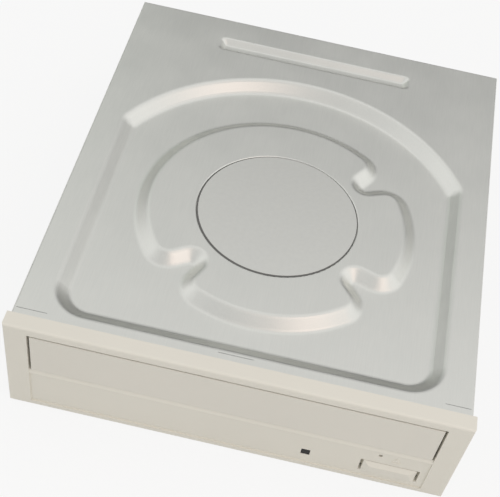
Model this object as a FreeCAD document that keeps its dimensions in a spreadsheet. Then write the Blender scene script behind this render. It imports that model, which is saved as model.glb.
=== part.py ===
import FreeCAD, Part
import math
import os
import Sketcher
from FreeCAD import Placement, Rotation, Vector

# Half-height optical disc drive as an assembly of separate pieces.
# +X is right seen from the front, the front faces -Y and +Z is up.
# Heights are measured from the underside, setbacks from the front face of the bezel.

DIMENSIONS = {
    # Case
    "case_width": 146.0,
    "case_height": 41.3,
    "case_length": 165.7,
    "sheet": 0.7,
    "bend_radius": 0.9,
    "cover_fit": 0.1,
    "flange_height": 5.0,
    "side_room": 4.3,
    "head_room": 5.3,
    "rear_room": 5.0,
    # Pressed recess, plateau and groove of the top cover
    "recess_front": 8.8,
    "recess_margin": 9.0,
    "arc_bulge": 7.5,
    "arc_shift": -0.7,
    "recess_corner": 13.0,
    "recess_shoulder": 8.0,
    "recess_depth": 3.6,
    "recess_slope": 6.0,
    "plateau_radius": 43.8,
    "plateau_height": 3.2,
    "plateau_slope": 5.9,
    "lobe_radius": 3.5,
    "lobe_angle": 15.3,
    "notch_radius": 6.3,
    "notch_distance": 37.5,
    "notch_first": 40.0,
    "notch_second": 230.0,
    "notch_third": 325.0,
    "groove_margin": 34.5,
    "groove_inset": 19.6,
    "groove_width": 8.1,
    "groove_depth": 1.8,
    "groove_corner": 2.2,
    "groove_inner_corner": 0.3,
    "groove_slope": 3.3,
    "label_radius": 27.8,
    "label_thickness": 0.45,
    "label_step": 0.65,
    "label_round": 0.4,
    "label_gap": 0.4,
    "label_hole_radius": 25.0,
    "slit_setback": 8.0,
    "slit_width": 0.14,
    "slit_inset": 1.0,
    "left_slit_end": 10.8,
    "right_slit_end": 9.0,
    "middle_slit_left": 7.7,
    "middle_slit_right": 3.6,
    # Bottom cover pressings
    "pan_front": 36.0,
    "pan_margin": 21.0,
    "pan_length": 104.0,
    "pan_depth": 0.6,
    "pan_slope": 1.2,
    "dimple_radius": 4.5,
    "dimple_depth": 1.4,
    "dimple_slope": 0.9,
    # Mounting holes
    "mount_setback": 52.9,
    "mount_pitch": 79.25,
    "side_hole_low": 9.93,
    "side_hole_rise": 11.91,
    "bottom_hole_inset": 3.15,
    "mount_hole_radius": 1.25,
    "collar_wall": 0.9,
    "collar_length": 1.2,
    # Bezel
    "bezel_depth": 5.5,
    "bezel_lap": 1.0,
    "bezel_step": 0.5,
    "bezel_face": 2.4,
    "bezel_rim": 2.0,
    "bezel_round": 0.8,
    "opening_side_gap": 1.6,
    "opening_drop": 4.5,
    "opening_head": 2.7,
    "rail_height": 1.5,
    "field_bottom": 2.4,
    "field_depth": 0.5,
    "sill_depth": 0.6,
    "arm_length": 9.5,
    "arm_thickness": 1.4,
    "arm_height": 10.0,
    # Tray door
    "door_gap": 0.75,
    "door_slit": 0.4,
    "door_head_gap": 0.9,
    "door_depth": 3.6,
    "door_sink": 0.1,
    "door_wall": 1.8,
    "door_round": 0.25,
    # Eject button, lamp window and emergency hole
    "button_width": 17.7,
    "button_inset": 12.2,
    "button_side_gap": 0.95,
    "button_low": 5.5,
    "button_high": 11.4,
    "button_slit": 0.25,
    "button_ridge": 9.9,
    "button_proud": 0.7,
    "button_bevel": 2.6,
    "button_travel": 1.2,
    "flange_lap": 1.2,
    "lamp_height": 8.2,
    "lamp_size": 3.0,
    "lamp_inset": 40.0,
    "lamp_fit": 0.1,
    "pinhole_radius": 0.7,
    "pinhole_inset": 16.4,
    "pinhole_drop": 2.7,
    # Main frame
    "frame_wall": 2.0,
    "frame_bottom": 1.6,
    "frame_front": 7.0,
    "deck_thickness": 2.0,
    "deck_drop": 5.2,
    "deck_rear": 41.5,
    "ledge_thickness": 2.0,
    "shelf_reach": 30.0,
    "shelf_margin": 2.7,
    "ledge_reach": 4.5,
    "wall_room": 1.0,
    "guide_rear": 34.0,
    "running_gap": 0.2,
    # Disc tray
    "tray_front": 3.6,
    "tray_side_gap": 1.2,
    "tray_rear_gap": 3.5,
    "tray_clear": 1.4,
    "tray_thickness": 5.6,
    "rail_drop": 2.8,
    "seat_margin": 4.2,
    "seat_depth": 4.0,
    "small_seat_step": 0.6,
    "seat_step_width": 20.0,
    "window_margin": 23.0,
    "tray_rail": 4.8,
    "window_width": 52.0,
    "window_round": 14.0,
    "window_taper": 8.0,
    "window_shoulder_inset": 8.0,
    "window_shoulder_reach": 14.0,
    "window_nose_inset": 16.0,
    "window_nose_reach": 20.0,
    "finger_inset": 9.0,
    "finger_width": 13.0,
    "finger_setback": 13.0,
    "finger_length": 15.0,
    # Loading gears
    "gear_setback": 24.0,
    "gear_inset": 24.8,
    "pinion_gap": 0.8,
    "pinion_length": 4.6,
    "fine_module": 0.8,
    "coarse_module": 1.0,
    "big_teeth": 40,
    "small_teeth": 12,
    "pinion_teeth": 14,
    "backlash": 0.24,
    "gear_thickness": 2.8,
    "post_radius": 1.95,
    "post_fit": 0.05,
    "pulley_radius": 11.0,
    "pulley_flange": 0.9,
    "belt_size": 1.2,
    "belt_gap": 0.1,
    "motor_span": 33.2,
    "motor_pulley_radius": 3.0,
    "motor_radius": 11.0,
    "motor_gap": 1.0,
    "motor_shaft_radius": 1.0,
    # Cam slider
    "cam_travel": 18.0,
    "brace_reach": 6.0,
    "brace_lap": 0.5,
    "brace_length": 1.5,
    "brace_height": 3.0,
    "keeper_reach": 9.0,
    "keeper_inset": 4.0,
    "keeper_setback": 1.7,
    "keeper_height": 7.0,
    "pivot_block_half": 5.0,
    "cam_thickness": 2.5,
    "cam_setback": 43.3,
    "cam_low": 2.6,
    "cam_clear": 2.0,
    "cam_margin": 3.4,
    "cam_pin_rise": 3.0,
    "cam_pin_x": 28.0,
    "cam_pin_radius": 1.5,
    "cam_slot_gap": 0.25,
    "cam_lug_length": 12.0,
    "cam_lug_reach": 10.0,
    "cam_lug_lap": 1.0,
    "cam_lug_lift": 0.4,
    "cam_lug_thickness": 1.5,
    # Traverse
    "spindle_setback": 71.4,
    "holder_room": 14.0,
    "holder_rear_room": 11.5,
    "pivot_inset": 4.0,
    "pivot_rise": 2.0,
    "pivot_radius": 2.0,
    "pivot_fit": 0.05,
    "spindle_drop": 6.9114,
    "holder_front": 48.0,
    "holder_low": 12.0,
    "holder_height": 6.0,
    "plate_rise": 3.0,
    "holder_wall": 5.0,
    "plate_thickness": 1.5,
    "plate_gap": 0.6,
    "damper_inset": 11.0,
    "damper_front_inset": 9.0,
    "damper_rear_inset": 12.5,
    "damper_radius": 3.8,
    "damper_neck": 2.5,
    "damper_flange": 1.0,
    "damper_bore": 1.3,
    # Spindle and turntable
    "rotor_radius": 11.0,
    "rotor_gap": 3.0,
    "rotor_drop": 4.5,
    "rotor_wall": 1.0,
    "spindle_shaft": 1.45,
    "bearing_fit": 0.05,
    "turntable_radius": 14.0,
    "seat_rise": 16.0,
    "pad_thickness": 0.6,
    "cone_radius": 7.4,
    "cone_height": 1.9,
    # Pickup sled
    "rod_radius": 1.5,
    "rod_inset": 21.0,
    "rod_rise": 4.5,
    "rod_start": 7.6,
    "rod_rear_inset": 7.0,
    "rod_fit": 0.05,
    "lens_rest": 24.0,
    "pickup_overhang": 4.0,
    "pickup_drop": 2.0,
    "pickup_rise": 11.0,
    "working_gap": 1.4,
    "pickup_ahead": 10.0,
    "pickup_behind": 12.0,
    "lens_radius": 2.4,
    "screw_radius": 1.5,
    "screw_offset": 7.4,
    "motor_seat": 0.1,
    "screw_fit": 0.1,
    "sled_motor_radius": 4.9,
    "rod_block_half": 3.2,
    "rod_block_length": 4.2,
    "rod_block_lap": 0.6,
    "rod_cover": 3.0,
    "screw_lead": 4.0,
    "screw_short": 11.0,
    "screw_seat": 3.0,
    "sled_motor_length": 14.0,
    "motor_foot_half": 3.5,
    "motor_foot_inset": 1.0,
    "motor_bore_depth": 4.0,
    "bearing_half": 2.6,
    "bearing_lap": 3.0,
    "bearing_end": 1.2,
    "bearing_end_gap": 1.0,
    "bearing_cover": 2.8,
    "well_margin": 5.0,
    "sled_clear": 0.7,
    "sled_step": 2.0,
    "hump_inset": 4.0,
    "hump_setback": 7.0,
    "hump_height": 3.0,
    "actuator_half": 9.0,
    "actuator_ahead": 6.0,
    "actuator_behind": 4.5,
    "actuator_depth": 4.2,
    "actuator_gap": 1.5,
    "actuator_floor_gap": 0.8,
    "nut_ahead": 4.0,
    "nut_clear": 1.0,
    "nut_half": 3.2,
    "nut_length": 7.0,
    "nut_cover": 2.6,
    "lens_crown": 0.5,
    "lens_ledge": 0.4,
    "lens_seat": 1.2,
    "lens_fit": 0.02,
    "lens_shoulder": 1.55,
    # Clamper
    "bridge_thickness": 1.0,
    "bridge_drop": 1.6,
    "clamper_drop": 0.6,
    "bridge_length": 29.0,
    "clamper_radius": 17.0,
    "clamper_hub": 13.0,
    "clamper_gap": 0.6,
    "magnet_radius": 9.3,
    "puck_floor_thickness": 1.0,
    "puck_chamfer": 0.8,
    "puck_rim": 2.2,
    "puck_wall": 1.5,
    "flange_gap": 0.1,
    "flange_thickness": 1.2,
    "magnet_fit": 0.1,
    "magnet_bore": 3.0,
    "magnet_rise": 1.4,
    # Boards and connectors
    "board_thickness": 1.6,
    "board_low": 3.0,
    "board_length": 75.0,
    "board_rear_gap": 3.5,
    "board_side_gap": 1.0,
    "board_post_inset": 3.0,
    "board_hole_inset": 8.0,
    "board_hole_rear_inset": 27.0,
    "front_board_gap": 3.5,
    "front_board_left": 16.0,
    "front_board_setback": 9.0,
    "front_board_right": 2.0,
    "switch_left": 3.5,
    "switch_right": 1.8,
    "switch_face": 1.0,
    "switch_rise": 3.0,
    "plunger_offset": 0.8,
    "plunger_length": 2.0,
    "diode_half": 1.6,
    "diode_gap": 0.3,
    "diode_length": 2.3,
    "ribbon_half": 7.0,
    "ribbon_thickness": 0.3,
    "ribbon_drop": 1.0,
    "ribbon_socket_half": 8.0,
    "ribbon_socket_length": 4.0,
    "ribbon_socket_inset": 1.0,
    "data_length": 58.0,
    "connector_gap": 3.0,
    "data_height": 9.2,
    "data_depth": 11.5,
    "power_length": 22.5,
    "power_height": 9.4,
    "shell_wall": 1.3,
    "socket_depth": 9.0,
    "pin_pitch": 2.54,
    "pin_size": 0.64,
    "pin_setback": 2.5,
    "header_pin_setback": 3.0,
    "power_pin_setback": 1.5,
    "key_half": 2.2,
    "power_pitch": 5.08,
    "power_pin_radius": 1.05,
    # Screws
    "screw_shank": 1.5,
    "screw_hole_fit": 0.1,
    "screw_head": 2.8,
    "cross_length": 3.2,
    "cross_width": 0.8,
    "cross_depth": 0.8,
    "bottom_screw_inset": 6.0,
    "bottom_screw_front": 25.0,
}


class Size:
    """A length that carries its number and the sheet expression it comes from."""

    def __init__(self, number, text):
        self.number = number
        self.text = text

    def __float__(self):
        return self.number

    def __neg__(self):
        return Size(-self.number, f"(-{self.text})")

    def __add__(self, other):
        return Size(self.number + float(other), f"({self.text} + {text_of(other)})")

    def __radd__(self, other):
        return Size(float(other) + self.number, f"({text_of(other)} + {self.text})")

    def __sub__(self, other):
        return Size(self.number - float(other), f"({self.text} - {text_of(other)})")

    def __rsub__(self, other):
        return Size(float(other) - self.number, f"({text_of(other)} - {self.text})")

    def __mul__(self, other):
        return Size(self.number * float(other), f"({self.text} * {text_of(other)})")

    __rmul__ = __mul__

    def __truediv__(self, other):
        return Size(self.number / float(other), f"({self.text} / {text_of(other)})")


def text_of(value):
    """The expression text of a size or of a plain number."""
    if isinstance(value, Size):
        return value.text
    return f"({float(value)!r})"


class Sizes:
    """Every named dimension, read back from the sheet."""


doc = FreeCAD.newDocument("disc_drive")
sheet = doc.addObject("Spreadsheet::Sheet", "dims")
for row, (name, number) in enumerate(DIMENSIONS.items(), start=1):
    sheet.set(f"A{row}", name)
    sheet.set(f"B{row}", str(number))
    sheet.setAlias(f"B{row}", name)
doc.recompute()
d = Sizes()
for name in DIMENSIONS:
    setattr(d, name, Size(float(sheet.get(name)), f"dims.{name}"))

# Sizes that follow from others and their clearances
d.bezel_width = d.case_width + 2 * d.bezel_lap
d.bezel_height = d.case_height + d.bezel_step
rear_setback = d.bezel_depth + d.case_length
d.recess_width = d.case_width - 2 * d.recess_margin
d.recess_arc = d.recess_width / 2 + d.arc_bulge
d.recess_arc_setback = d.spindle_setback + d.arc_shift
d.plateau_setback = d.spindle_setback
d.groove_front = rear_setback - d.groove_inset
d.groove_length = d.case_width - 2 * d.groove_margin
d.pan_width = d.case_width - 2 * d.pan_margin
d.bottom_hole_pitch = d.case_width - 2 * d.bottom_hole_inset
d.frame_width = d.case_width - 2 * (d.sheet + d.side_room)
d.frame_top = d.case_height - d.head_room
d.frame_rear = rear_setback - d.rear_room
frame_inner = d.frame_width / 2 - d.frame_wall
d.bridge_low = d.frame_top - d.bridge_drop
d.clamper_low = d.bridge_low - d.clamper_drop
d.tray_width = 2 * (frame_inner - d.tray_side_gap)
d.tray_rear = d.frame_rear - d.tray_rear_gap
d.tray_top = d.bridge_low - d.tray_clear
d.tray_underside = d.tray_top - d.tray_thickness
d.tray_rail_bottom = d.tray_underside - d.rail_drop
d.disc_recess_radius = d.tray_width / 2 - d.seat_margin
d.disc_floor = d.tray_top - d.seat_depth
d.small_recess_radius = d.disc_recess_radius - d.seat_step_width
d.small_floor = d.disc_floor - d.small_seat_step
d.window_rear = d.tray_rear - d.window_margin
d.opening_width = d.tray_width + 2 * d.opening_side_gap
d.opening_bottom = d.tray_rail_bottom - d.opening_drop
d.opening_top = d.case_height - d.opening_head
d.field_top = d.opening_bottom - d.rail_height
d.button_centre = d.opening_width / 2 - d.button_inset
d.lamp_centre = d.opening_width / 2 - d.lamp_inset
d.pinhole_centre = d.opening_width / 2 - d.pinhole_inset
d.pinhole_height = d.field_top - d.pinhole_drop
d.ledge_top = d.tray_rail_bottom - d.running_gap
d.pinion_top = d.tray_underside - d.pinion_gap
d.gear_low = d.pinion_top - d.pinion_length - d.gear_thickness
d.deck_height = d.gear_low - d.deck_drop
d.tray_gear_x = d.tray_width / 2 - d.gear_inset
board_top = d.board_low + d.board_thickness
d.rear_wall_low = board_top + d.power_height + d.wall_room
d.motor_bottom = board_top + d.motor_gap
d.holder_width = 2 * (frame_inner - d.holder_room)
d.holder_rear = d.frame_rear - d.holder_rear_room
d.holder_high = d.holder_low + d.holder_height
d.pivot_setback = d.holder_rear - d.pivot_inset
d.pivot_height = d.holder_low + d.pivot_rise
tilt_sine = d.spindle_drop / (d.pivot_setback - d.spindle_setback)
d.tilt = math.degrees(math.asin(float(tilt_sine)))
d.cam_left = frame_inner - d.cam_clear
d.cam_right = frame_inner - 2 * d.cam_clear - d.cam_travel
d.cam_pin_height = d.holder_low + d.cam_pin_rise
d.cam_high = d.cam_pin_height + d.cam_margin
d.plate_low = d.holder_low + d.plate_rise
d.rotor_low = d.plate_low + d.rotor_gap
d.disc_seat = d.plate_low + d.seat_rise
d.rotor_top = d.disc_seat - d.rotor_drop
d.cone_top = d.disc_seat + d.cone_height
d.lens_top = d.disc_seat - d.working_gap
d.damper_x = d.holder_width / 2 - d.damper_inset
d.damper_front = d.holder_front + d.damper_front_inset
d.damper_rear = d.holder_rear - d.damper_rear_inset
d.rod_x = d.holder_width / 2 - d.rod_inset
d.rod_height = d.plate_low + d.rod_rise
d.rod_front = d.spindle_setback + d.rod_start
d.rod_rear = d.holder_rear - d.rod_rear_inset
d.pickup_width = 2 * (d.rod_x + d.pickup_overhang)
d.pickup_low = d.plate_low - d.pickup_drop
d.pickup_top = d.plate_low + d.pickup_rise
d.screw_x = d.rod_x + d.screw_offset
d.screw_height = d.plate_low + d.plate_thickness + d.sled_motor_radius + d.motor_seat
d.main_board_rear = rear_setback - d.board_rear_gap
d.main_board_front = d.main_board_rear - d.board_length
d.main_board_width = 2 * (frame_inner - d.board_side_gap)
d.bottom_screw_x = frame_inner - d.bottom_screw_inset
d.bottom_screw_rear = d.pivot_setback
jumper_length = 4.2 * d.pin_pitch
audio_length = 5.0 * d.pin_pitch
row_length = d.power_length + d.data_length + jumper_length + audio_length + 3 * d.connector_gap
d.power_centre = (d.power_length - row_length) / 2
d.data_centre = d.power_centre + (d.power_length + d.data_length) / 2 + d.connector_gap
jumper_middle = d.data_centre + (d.data_length + jumper_length) / 2 + d.connector_gap
audio_middle = jumper_middle + (jumper_length + audio_length) / 2 + d.connector_gap

# Planes shared by the pieces
front = d.button_proud - (d.button_proud + d.bezel_depth + d.case_length) / 2
case_front = front + d.bezel_depth
rear = case_front + d.case_length
spindle_y = front + d.spindle_setback
pivot_y = front + d.pivot_setback
sheet_inner = d.case_width / 2 - d.sheet

post_x = frame_inner - d.board_post_inset
post_setbacks = (
    d.main_board_front + d.board_hole_inset,
    d.main_board_rear - d.board_hole_rear_inset,
)

pieces = []


# Building blocks

def put(feature, prop, value):
    """Binds one property of a feature to a size."""
    feature.setExpression(prop, text_of(value))


def place(feature, spot):
    """Binds the position of a feature to three sizes."""
    for axis, value in zip("xyz", spot):
        put(feature, f"Placement.Base.{axis}", value)


def box(low, high):
    """A block between two opposite corners."""
    block = doc.addObject("Part::Box", "block")
    for prop, start, end in zip(("Length", "Width", "Height"), low, high):
        put(block, prop, end - start)
    place(block, low)
    return block


TURNS = {
    "z": Rotation(),
    "x": Rotation(Vector(0, 1, 0), 90),
    "y": Rotation(Vector(1, 0, 0), -90),
}


def rod(spot, radius, length, axis="z"):
    """A cylinder that starts at a spot and runs along one axis."""
    bar = doc.addObject("Part::Cylinder", "bar")
    bar.Placement = Placement(Vector(), TURNS[axis])
    put(bar, "Radius", radius)
    put(bar, "Height", length)
    place(bar, spot)
    return bar


def cone(spot, low_radius, high_radius, height):
    """An upright cone frustum."""
    frustum = doc.addObject("Part::Cone", "frustum")
    put(frustum, "Radius1", low_radius)
    put(frustum, "Radius2", high_radius)
    put(frustum, "Height", height)
    place(frustum, spot)
    return frustum


def formed(shape):
    """A shape that has been worked out from the sheet's numbers."""
    feature = doc.addObject("Part::Feature", "formed")
    feature.Shape = shape
    return feature


def fuse(parts):
    """One solid from several that touch."""
    joined = doc.addObject("Part::MultiFuse", "joined")
    joined.Shapes = parts
    joined.Refine = True
    return joined


def cut(base, tools):
    """A solid with the tools taken away."""
    carved = doc.addObject("Part::Cut", "carved")
    carved.Base = base
    carved.Tool = tools[0] if len(tools) == 1 else fuse(tools)
    return carved


def group(parts):
    """Separate solids that share one node."""
    bundle = doc.addObject("Part::Compound", "bundle")
    bundle.Links = parts
    return bundle


def piece(feature, label, turned=None):
    """Names a finished sub-part and keeps it for export."""
    feature.Label = label
    if turned is not None:
        feature.Placement = turned
    pieces.append(feature)
    return feature


def body(label):
    return doc.addObject("PartDesign::Body", label)


def sketch(owner, role, height=0.0):
    """An empty sketch on one of the body's own origin planes."""
    profile = owner.newObject("Sketcher::SketchObject", "profile")
    plane = [item for item in owner.Origin.OriginFeatures if item.Role == role][0]
    profile.AttachmentSupport = (plane, [""])
    profile.MapMode = "FlatFace"
    put(profile, "AttachmentOffset.Base.z", height)
    return profile


def outline(profile, corners):
    """Closes an outline of straight edges with every corner bound to the sheet."""
    first = profile.GeometryCount
    count = len(corners)
    flat = [Vector(float(u), float(v), 0) for u, v in corners]
    for i in range(count):
        profile.addGeometry(Part.LineSegment(flat[i], flat[(i + 1) % count]))
    for i in range(count):
        profile.addConstraint(Sketcher.Constraint("Coincident", first + i, 2, first + (i + 1) % count, 1))
    for i, corner in enumerate(corners):
        for kind, value in zip(("DistanceX", "DistanceY"), corner):
            index = profile.addConstraint(Sketcher.Constraint(kind, -1, 1, first + i, 1, float(value)))
            profile.setExpression(f"Constraints[{index}]", text_of(value))


def rectangle(profile, low, high):
    outline(profile, [low, (high[0], low[1]), high, (low[0], high[1])])


def circle(profile, centre, radius):
    """A circle with its centre and radius bound to the sheet."""
    index = profile.addGeometry(
        Part.Circle(Vector(float(centre[0]), float(centre[1]), 0), Vector(0, 0, 1), float(radius))
    )
    for kind, value in zip(("DistanceX", "DistanceY"), centre):
        number = profile.addConstraint(Sketcher.Constraint(kind, -1, 1, index, 3, float(value)))
        profile.setExpression(f"Constraints[{number}]", text_of(value))
    number = profile.addConstraint(Sketcher.Constraint("Radius", index, float(radius)))
    profile.setExpression(f"Constraints[{number}]", text_of(radius))


def pad(owner, profile, length, back=False):
    """Adds material along the sketch normal, or against it."""
    feature = owner.newObject("PartDesign::Pad", "pad")
    feature.Profile = profile
    put(feature, "Length", length)
    feature.Reversed = back
    return feature


def pocket(owner, profile, length, back=False):
    """Takes material away against the sketch normal, or along it."""
    feature = owner.newObject("PartDesign::Pocket", "pocket")
    feature.Profile = profile
    put(feature, "Length", length)
    feature.Reversed = back
    return feature


def turned_body(corners):
    """A body of revolution about its own Z axis from an outline of radius and height."""
    owner = body("turning")
    profile = sketch(owner, "XZ_Plane")
    outline(profile, corners)
    feature = owner.newObject("PartDesign::Revolution", "revolution")
    feature.Profile = profile
    feature.ReferenceAxis = (profile, ["V_Axis"])
    feature.Angle = 360
    return owner


def round_edges(owner, radius, chosen):
    """Fillets the edges of a body that a test picks out."""
    doc.recompute()
    base = owner.Tip
    names = [f"Edge{i}" for i, edge in enumerate(base.Shape.Edges, start=1) if chosen(edge)]
    feature = owner.newObject("PartDesign::Fillet", "rounding")
    feature.Base = (base, names)
    put(feature, "Radius", radius)
    return feature


def tilted():
    """The placement of the lowered traverse, turned about its rear pivot."""
    centre = Vector(0, float(pivot_y), float(d.pivot_height))
    return Placement(Vector(), Rotation(Vector(1, 0, 0), d.tilt), centre)


def arc_edge(centre, radius, start, end):
    """An arc in the XY plane between two angles in radians."""
    angles = (start, (start + end) / 2, end)
    points = [centre + Vector(radius * math.cos(a), radius * math.sin(a), 0) for a in angles]
    return Part.Arc(*points).toShape()


def line_edge(start, end):
    return Part.LineSegment(start, end).toShape()


# Pressed forms of the top cover

# Share of the slope's width and of its height at each step of the rolled wall
ROLLED_WALL = (
    (0.0, 0.0),
    (0.09, 0.015),
    (0.18, 0.065),
    (0.28, 0.17),
    (0.38, 0.32),
    (0.62, 0.68),
    (0.72, 0.83),
    (0.82, 0.935),
    (0.91, 0.985),
    (1.0, 1.0),
)


def recess_outline(inset):
    """The round-backed recess: straight sides, front corners and a long rear arc."""
    half = float(d.recess_width) / 2 - inset
    low = float(front + d.recess_front) + inset
    corner = float(d.recess_corner) - inset
    arc = float(d.recess_arc) - inset
    centre = Vector(0, float(front + d.recess_arc_setback), 0)
    soft = float(d.recess_shoulder) - inset
    aside = half - soft
    shoulder = float(centre.y) + math.sqrt((arc - soft) ** 2 - aside ** 2)
    lean = math.atan2(shoulder - float(centre.y), aside)
    left = Vector(-half + corner, low + corner, 0)
    right = Vector(half - corner, low + corner, 0)
    return Part.Wire([
        arc_edge(Vector(aside, shoulder, 0), soft, 0.0, lean),
        arc_edge(centre, arc, lean, math.pi - lean),
        arc_edge(Vector(-aside, shoulder, 0), soft, math.pi - lean, math.pi),
        line_edge(Vector(-half, shoulder, 0), Vector(-half, low + corner, 0)),
        arc_edge(left, corner, math.pi, 1.5 * math.pi),
        line_edge(Vector(-half + corner, low, 0), Vector(half - corner, low, 0)),
        arc_edge(right, corner, 1.5 * math.pi, 2 * math.pi),
        line_edge(Vector(half, low + corner, 0), Vector(half, shoulder, 0)),
    ])


def plateau_outline(growth):
    """The round plateau with three pinched notches."""
    radius = float(d.plateau_radius)
    lobe = float(d.lobe_radius)
    notch = float(d.notch_radius)
    reach = float(d.notch_distance)
    spread = math.radians(float(d.lobe_angle))
    middle = Vector(0, float(front + d.plateau_setback), 0)
    notches = [math.radians(float(angle)) for angle in (d.notch_first, d.notch_second, d.notch_third)]
    edges = []
    for i, angle in enumerate(notches):
        following = notches[i + 1] if i < 2 else notches[0] + 2 * math.pi
        end = middle + Vector(reach * math.cos(angle), reach * math.sin(angle), 0)
        sides = []
        for sign in (-1, 1):
            heading = angle + sign * spread
            spot = middle + Vector(math.cos(heading), math.sin(heading), 0) * (radius - lobe)
            span = end - spot
            swing = math.acos((lobe + notch) / span.Length)
            normal = math.atan2(span.y, span.x) + sign * swing
            sides.append((heading, spot, normal))
        (heading_a, spot_a, normal_a), (heading_b, spot_b, normal_b) = sides
        normal_a = heading_a + (normal_a - heading_a) % (2 * math.pi)
        normal_b = heading_b - (heading_b - normal_b) % (2 * math.pi)
        direction_a = Vector(math.cos(normal_a), math.sin(normal_a), 0)
        direction_b = Vector(math.cos(normal_b), math.sin(normal_b), 0)
        turn = (normal_a - normal_b) % (2 * math.pi)
        edges.append(arc_edge(spot_a, lobe + growth, heading_a, normal_a))
        leave_a = spot_a + direction_a * (lobe + growth)
        meet_a = end - direction_a * (notch - growth)
        leave_b = spot_b + direction_b * (lobe + growth)
        meet_b = end - direction_b * (notch - growth)
        edges.append(line_edge(leave_a, meet_a))
        edges.append(arc_edge(end, notch - growth, normal_a + math.pi, normal_a + math.pi - turn))
        edges.append(line_edge(meet_b, leave_b))
        edges.append(arc_edge(spot_b, lobe + growth, normal_b, heading_b))
        edges.append(arc_edge(middle, radius + growth, heading_b, following - spread))
    return Part.Wire(edges)


def groove_outline(inset):
    """The bar-shaped groove near the rear edge."""
    half = float(d.groove_length) / 2 - inset
    low = float(front + d.groove_front) + inset
    high = float(front + d.groove_front + d.groove_width) - inset
    share = inset / float(d.groove_slope)
    corner = float(d.groove_corner + (d.groove_inner_corner - d.groove_corner) * share)
    spots = [(half - corner, high - corner), (corner - half, high - corner)]
    spots += [(corner - half, low + corner), (half - corner, low + corner)]
    edges = []
    for i, spot in enumerate(spots):
        centre = Vector(*spot, 0)
        following = Vector(*spots[(i + 1) % 4], 0)
        turned = 0.5 * math.pi * (i + 1)
        aside = Vector(math.cos(turned), math.sin(turned), 0) * corner
        edges.append(arc_edge(centre, corner, turned - 0.5 * math.pi, turned))
        edges.append(line_edge(centre + aside, following + aside))
    return Part.Wire(edges)


def pressed(shape_at, top, depth, slope, lower):
    """A solid between two levels whose wall rolls from one outline to the other."""
    wires = []
    for across, down in ROLLED_WALL:
        wire = shape_at(across * float(slope))
        wire.translate(Vector(0, 0, float(top) - lower - down * float(depth)))
        wires.append(wire)
    return Part.makeLoft(wires, True, True)


def label_seat(radius, floor, top):
    """A round cutter whose wall rolls outward to the surface above it."""
    bend = float(d.label_round)
    flare = radius + bend
    lift = top + float(d.case_height)
    middle = Vector(flare - bend * math.sqrt(0.5), 0, top - bend + bend * math.sqrt(0.5))
    roll = Part.Arc(Vector(radius, 0, top - bend), middle, Vector(flare, 0, top))
    wire = Part.Wire([
        line_edge(Vector(0, 0, floor), Vector(radius, 0, floor)),
        line_edge(Vector(radius, 0, floor), Vector(radius, 0, top - bend)),
        roll.toShape(),
        line_edge(Vector(flare, 0, top), Vector(flare, 0, lift)),
        line_edge(Vector(flare, 0, lift), Vector(0, 0, lift)),
        line_edge(Vector(0, 0, lift), Vector(0, 0, floor)),
    ])
    cutter = Part.Face(wire).revolve(Vector(), Vector(0, 0, 1), 360)
    cutter.translate(Vector(0, float(spindle_y), 0))
    return cutter


def cover_form(low, high, corner_round, lower):
    """The solid form under the pressed top, inside a block between two corners."""
    block = Part.makeBox(*(float(b - a) for a, b in zip(low, high)), Vector(*(float(a) for a in low)))
    top = float(high[2])
    bends = [
        edge for edge in block.Edges
        if edge.BoundBox.ZMin > top - 0.01 and edge.BoundBox.YMax > float(low[1]) + 1
    ]
    block = block.makeFillet(float(corner_round), bends)
    recess_floor = d.case_height - d.recess_depth
    block = block.cut(pressed(recess_outline, d.case_height, d.recess_depth, d.recess_slope, lower))
    plateau_top = recess_floor + d.plateau_height
    block = block.fuse(pressed(plateau_outline, plateau_top, d.plateau_height, d.plateau_slope, lower))
    seat_radius = float(d.label_radius + d.label_gap) + lower
    label_floor = float(plateau_top - d.label_step) - lower
    block = block.cut(label_seat(seat_radius, label_floor, float(plateau_top) - lower))
    return block.cut(pressed(groove_outline, d.case_height, d.groove_depth, d.groove_slope, lower))


def side_holes(radius, start, length):
    """Cylinders across one side at each of its four mounting holes, in both sides."""
    bars = []
    for setback in (d.mount_setback, d.mount_setback + d.mount_pitch):
        for height in (d.side_hole_low, d.side_hole_low + d.side_hole_rise):
            bars.append(rod((-start - length, front + setback, height), radius, length, "x"))
            bars.append(rod((start, front + setback, height), radius, length, "x"))
    return bars


def bottom_holes(radius, low, length):
    """Cylinders at the four mounting holes of the underside."""
    return [
        rod((side * d.bottom_hole_pitch / 2, front + setback, low), radius, length)
        for setback in (d.mount_setback, d.mount_setback + d.mount_pitch)
        for side in (-1, 1)
    ]


# Top cover: pressed sheet, folded sides and a rear wall with the connector window
half_case = d.case_width / 2
outer_form = formed(cover_form(
    (-half_case, case_front, 0.0),
    (half_case, rear, d.case_height),
    d.bend_radius,
    0.0,
))
inner_form = formed(cover_form(
    (-sheet_inner, case_front - d.sheet, -d.sheet),
    (sheet_inner, rear - d.sheet, d.case_height - d.sheet),
    d.bend_radius / 2,
    float(d.sheet),
))
hollow_cover = cut(outer_form, [inner_form])
collars = side_holes(
    d.mount_hole_radius + d.collar_wall,
    sheet_inner - d.collar_length,
    d.collar_length + d.sheet / 2,
)
plateau_top = d.case_height - d.recess_depth + d.plateau_height
slit_rows = (
    (d.slit_inset - half_case, d.left_slit_end - half_case),
    (-d.middle_slit_left, d.middle_slit_right),
    (half_case - d.right_slit_end, half_case - d.slit_inset),
)
slits = [
    box(
        (start, front + d.slit_setback, d.case_height - 2 * d.sheet),
        (end, front + d.slit_setback + d.slit_width, d.case_height + d.sheet),
    )
    for start, end in slit_rows
]
label_hole = rod((0, spindle_y, plateau_top - 2 * d.sheet), d.label_hole_radius, 4 * d.sheet)
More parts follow.
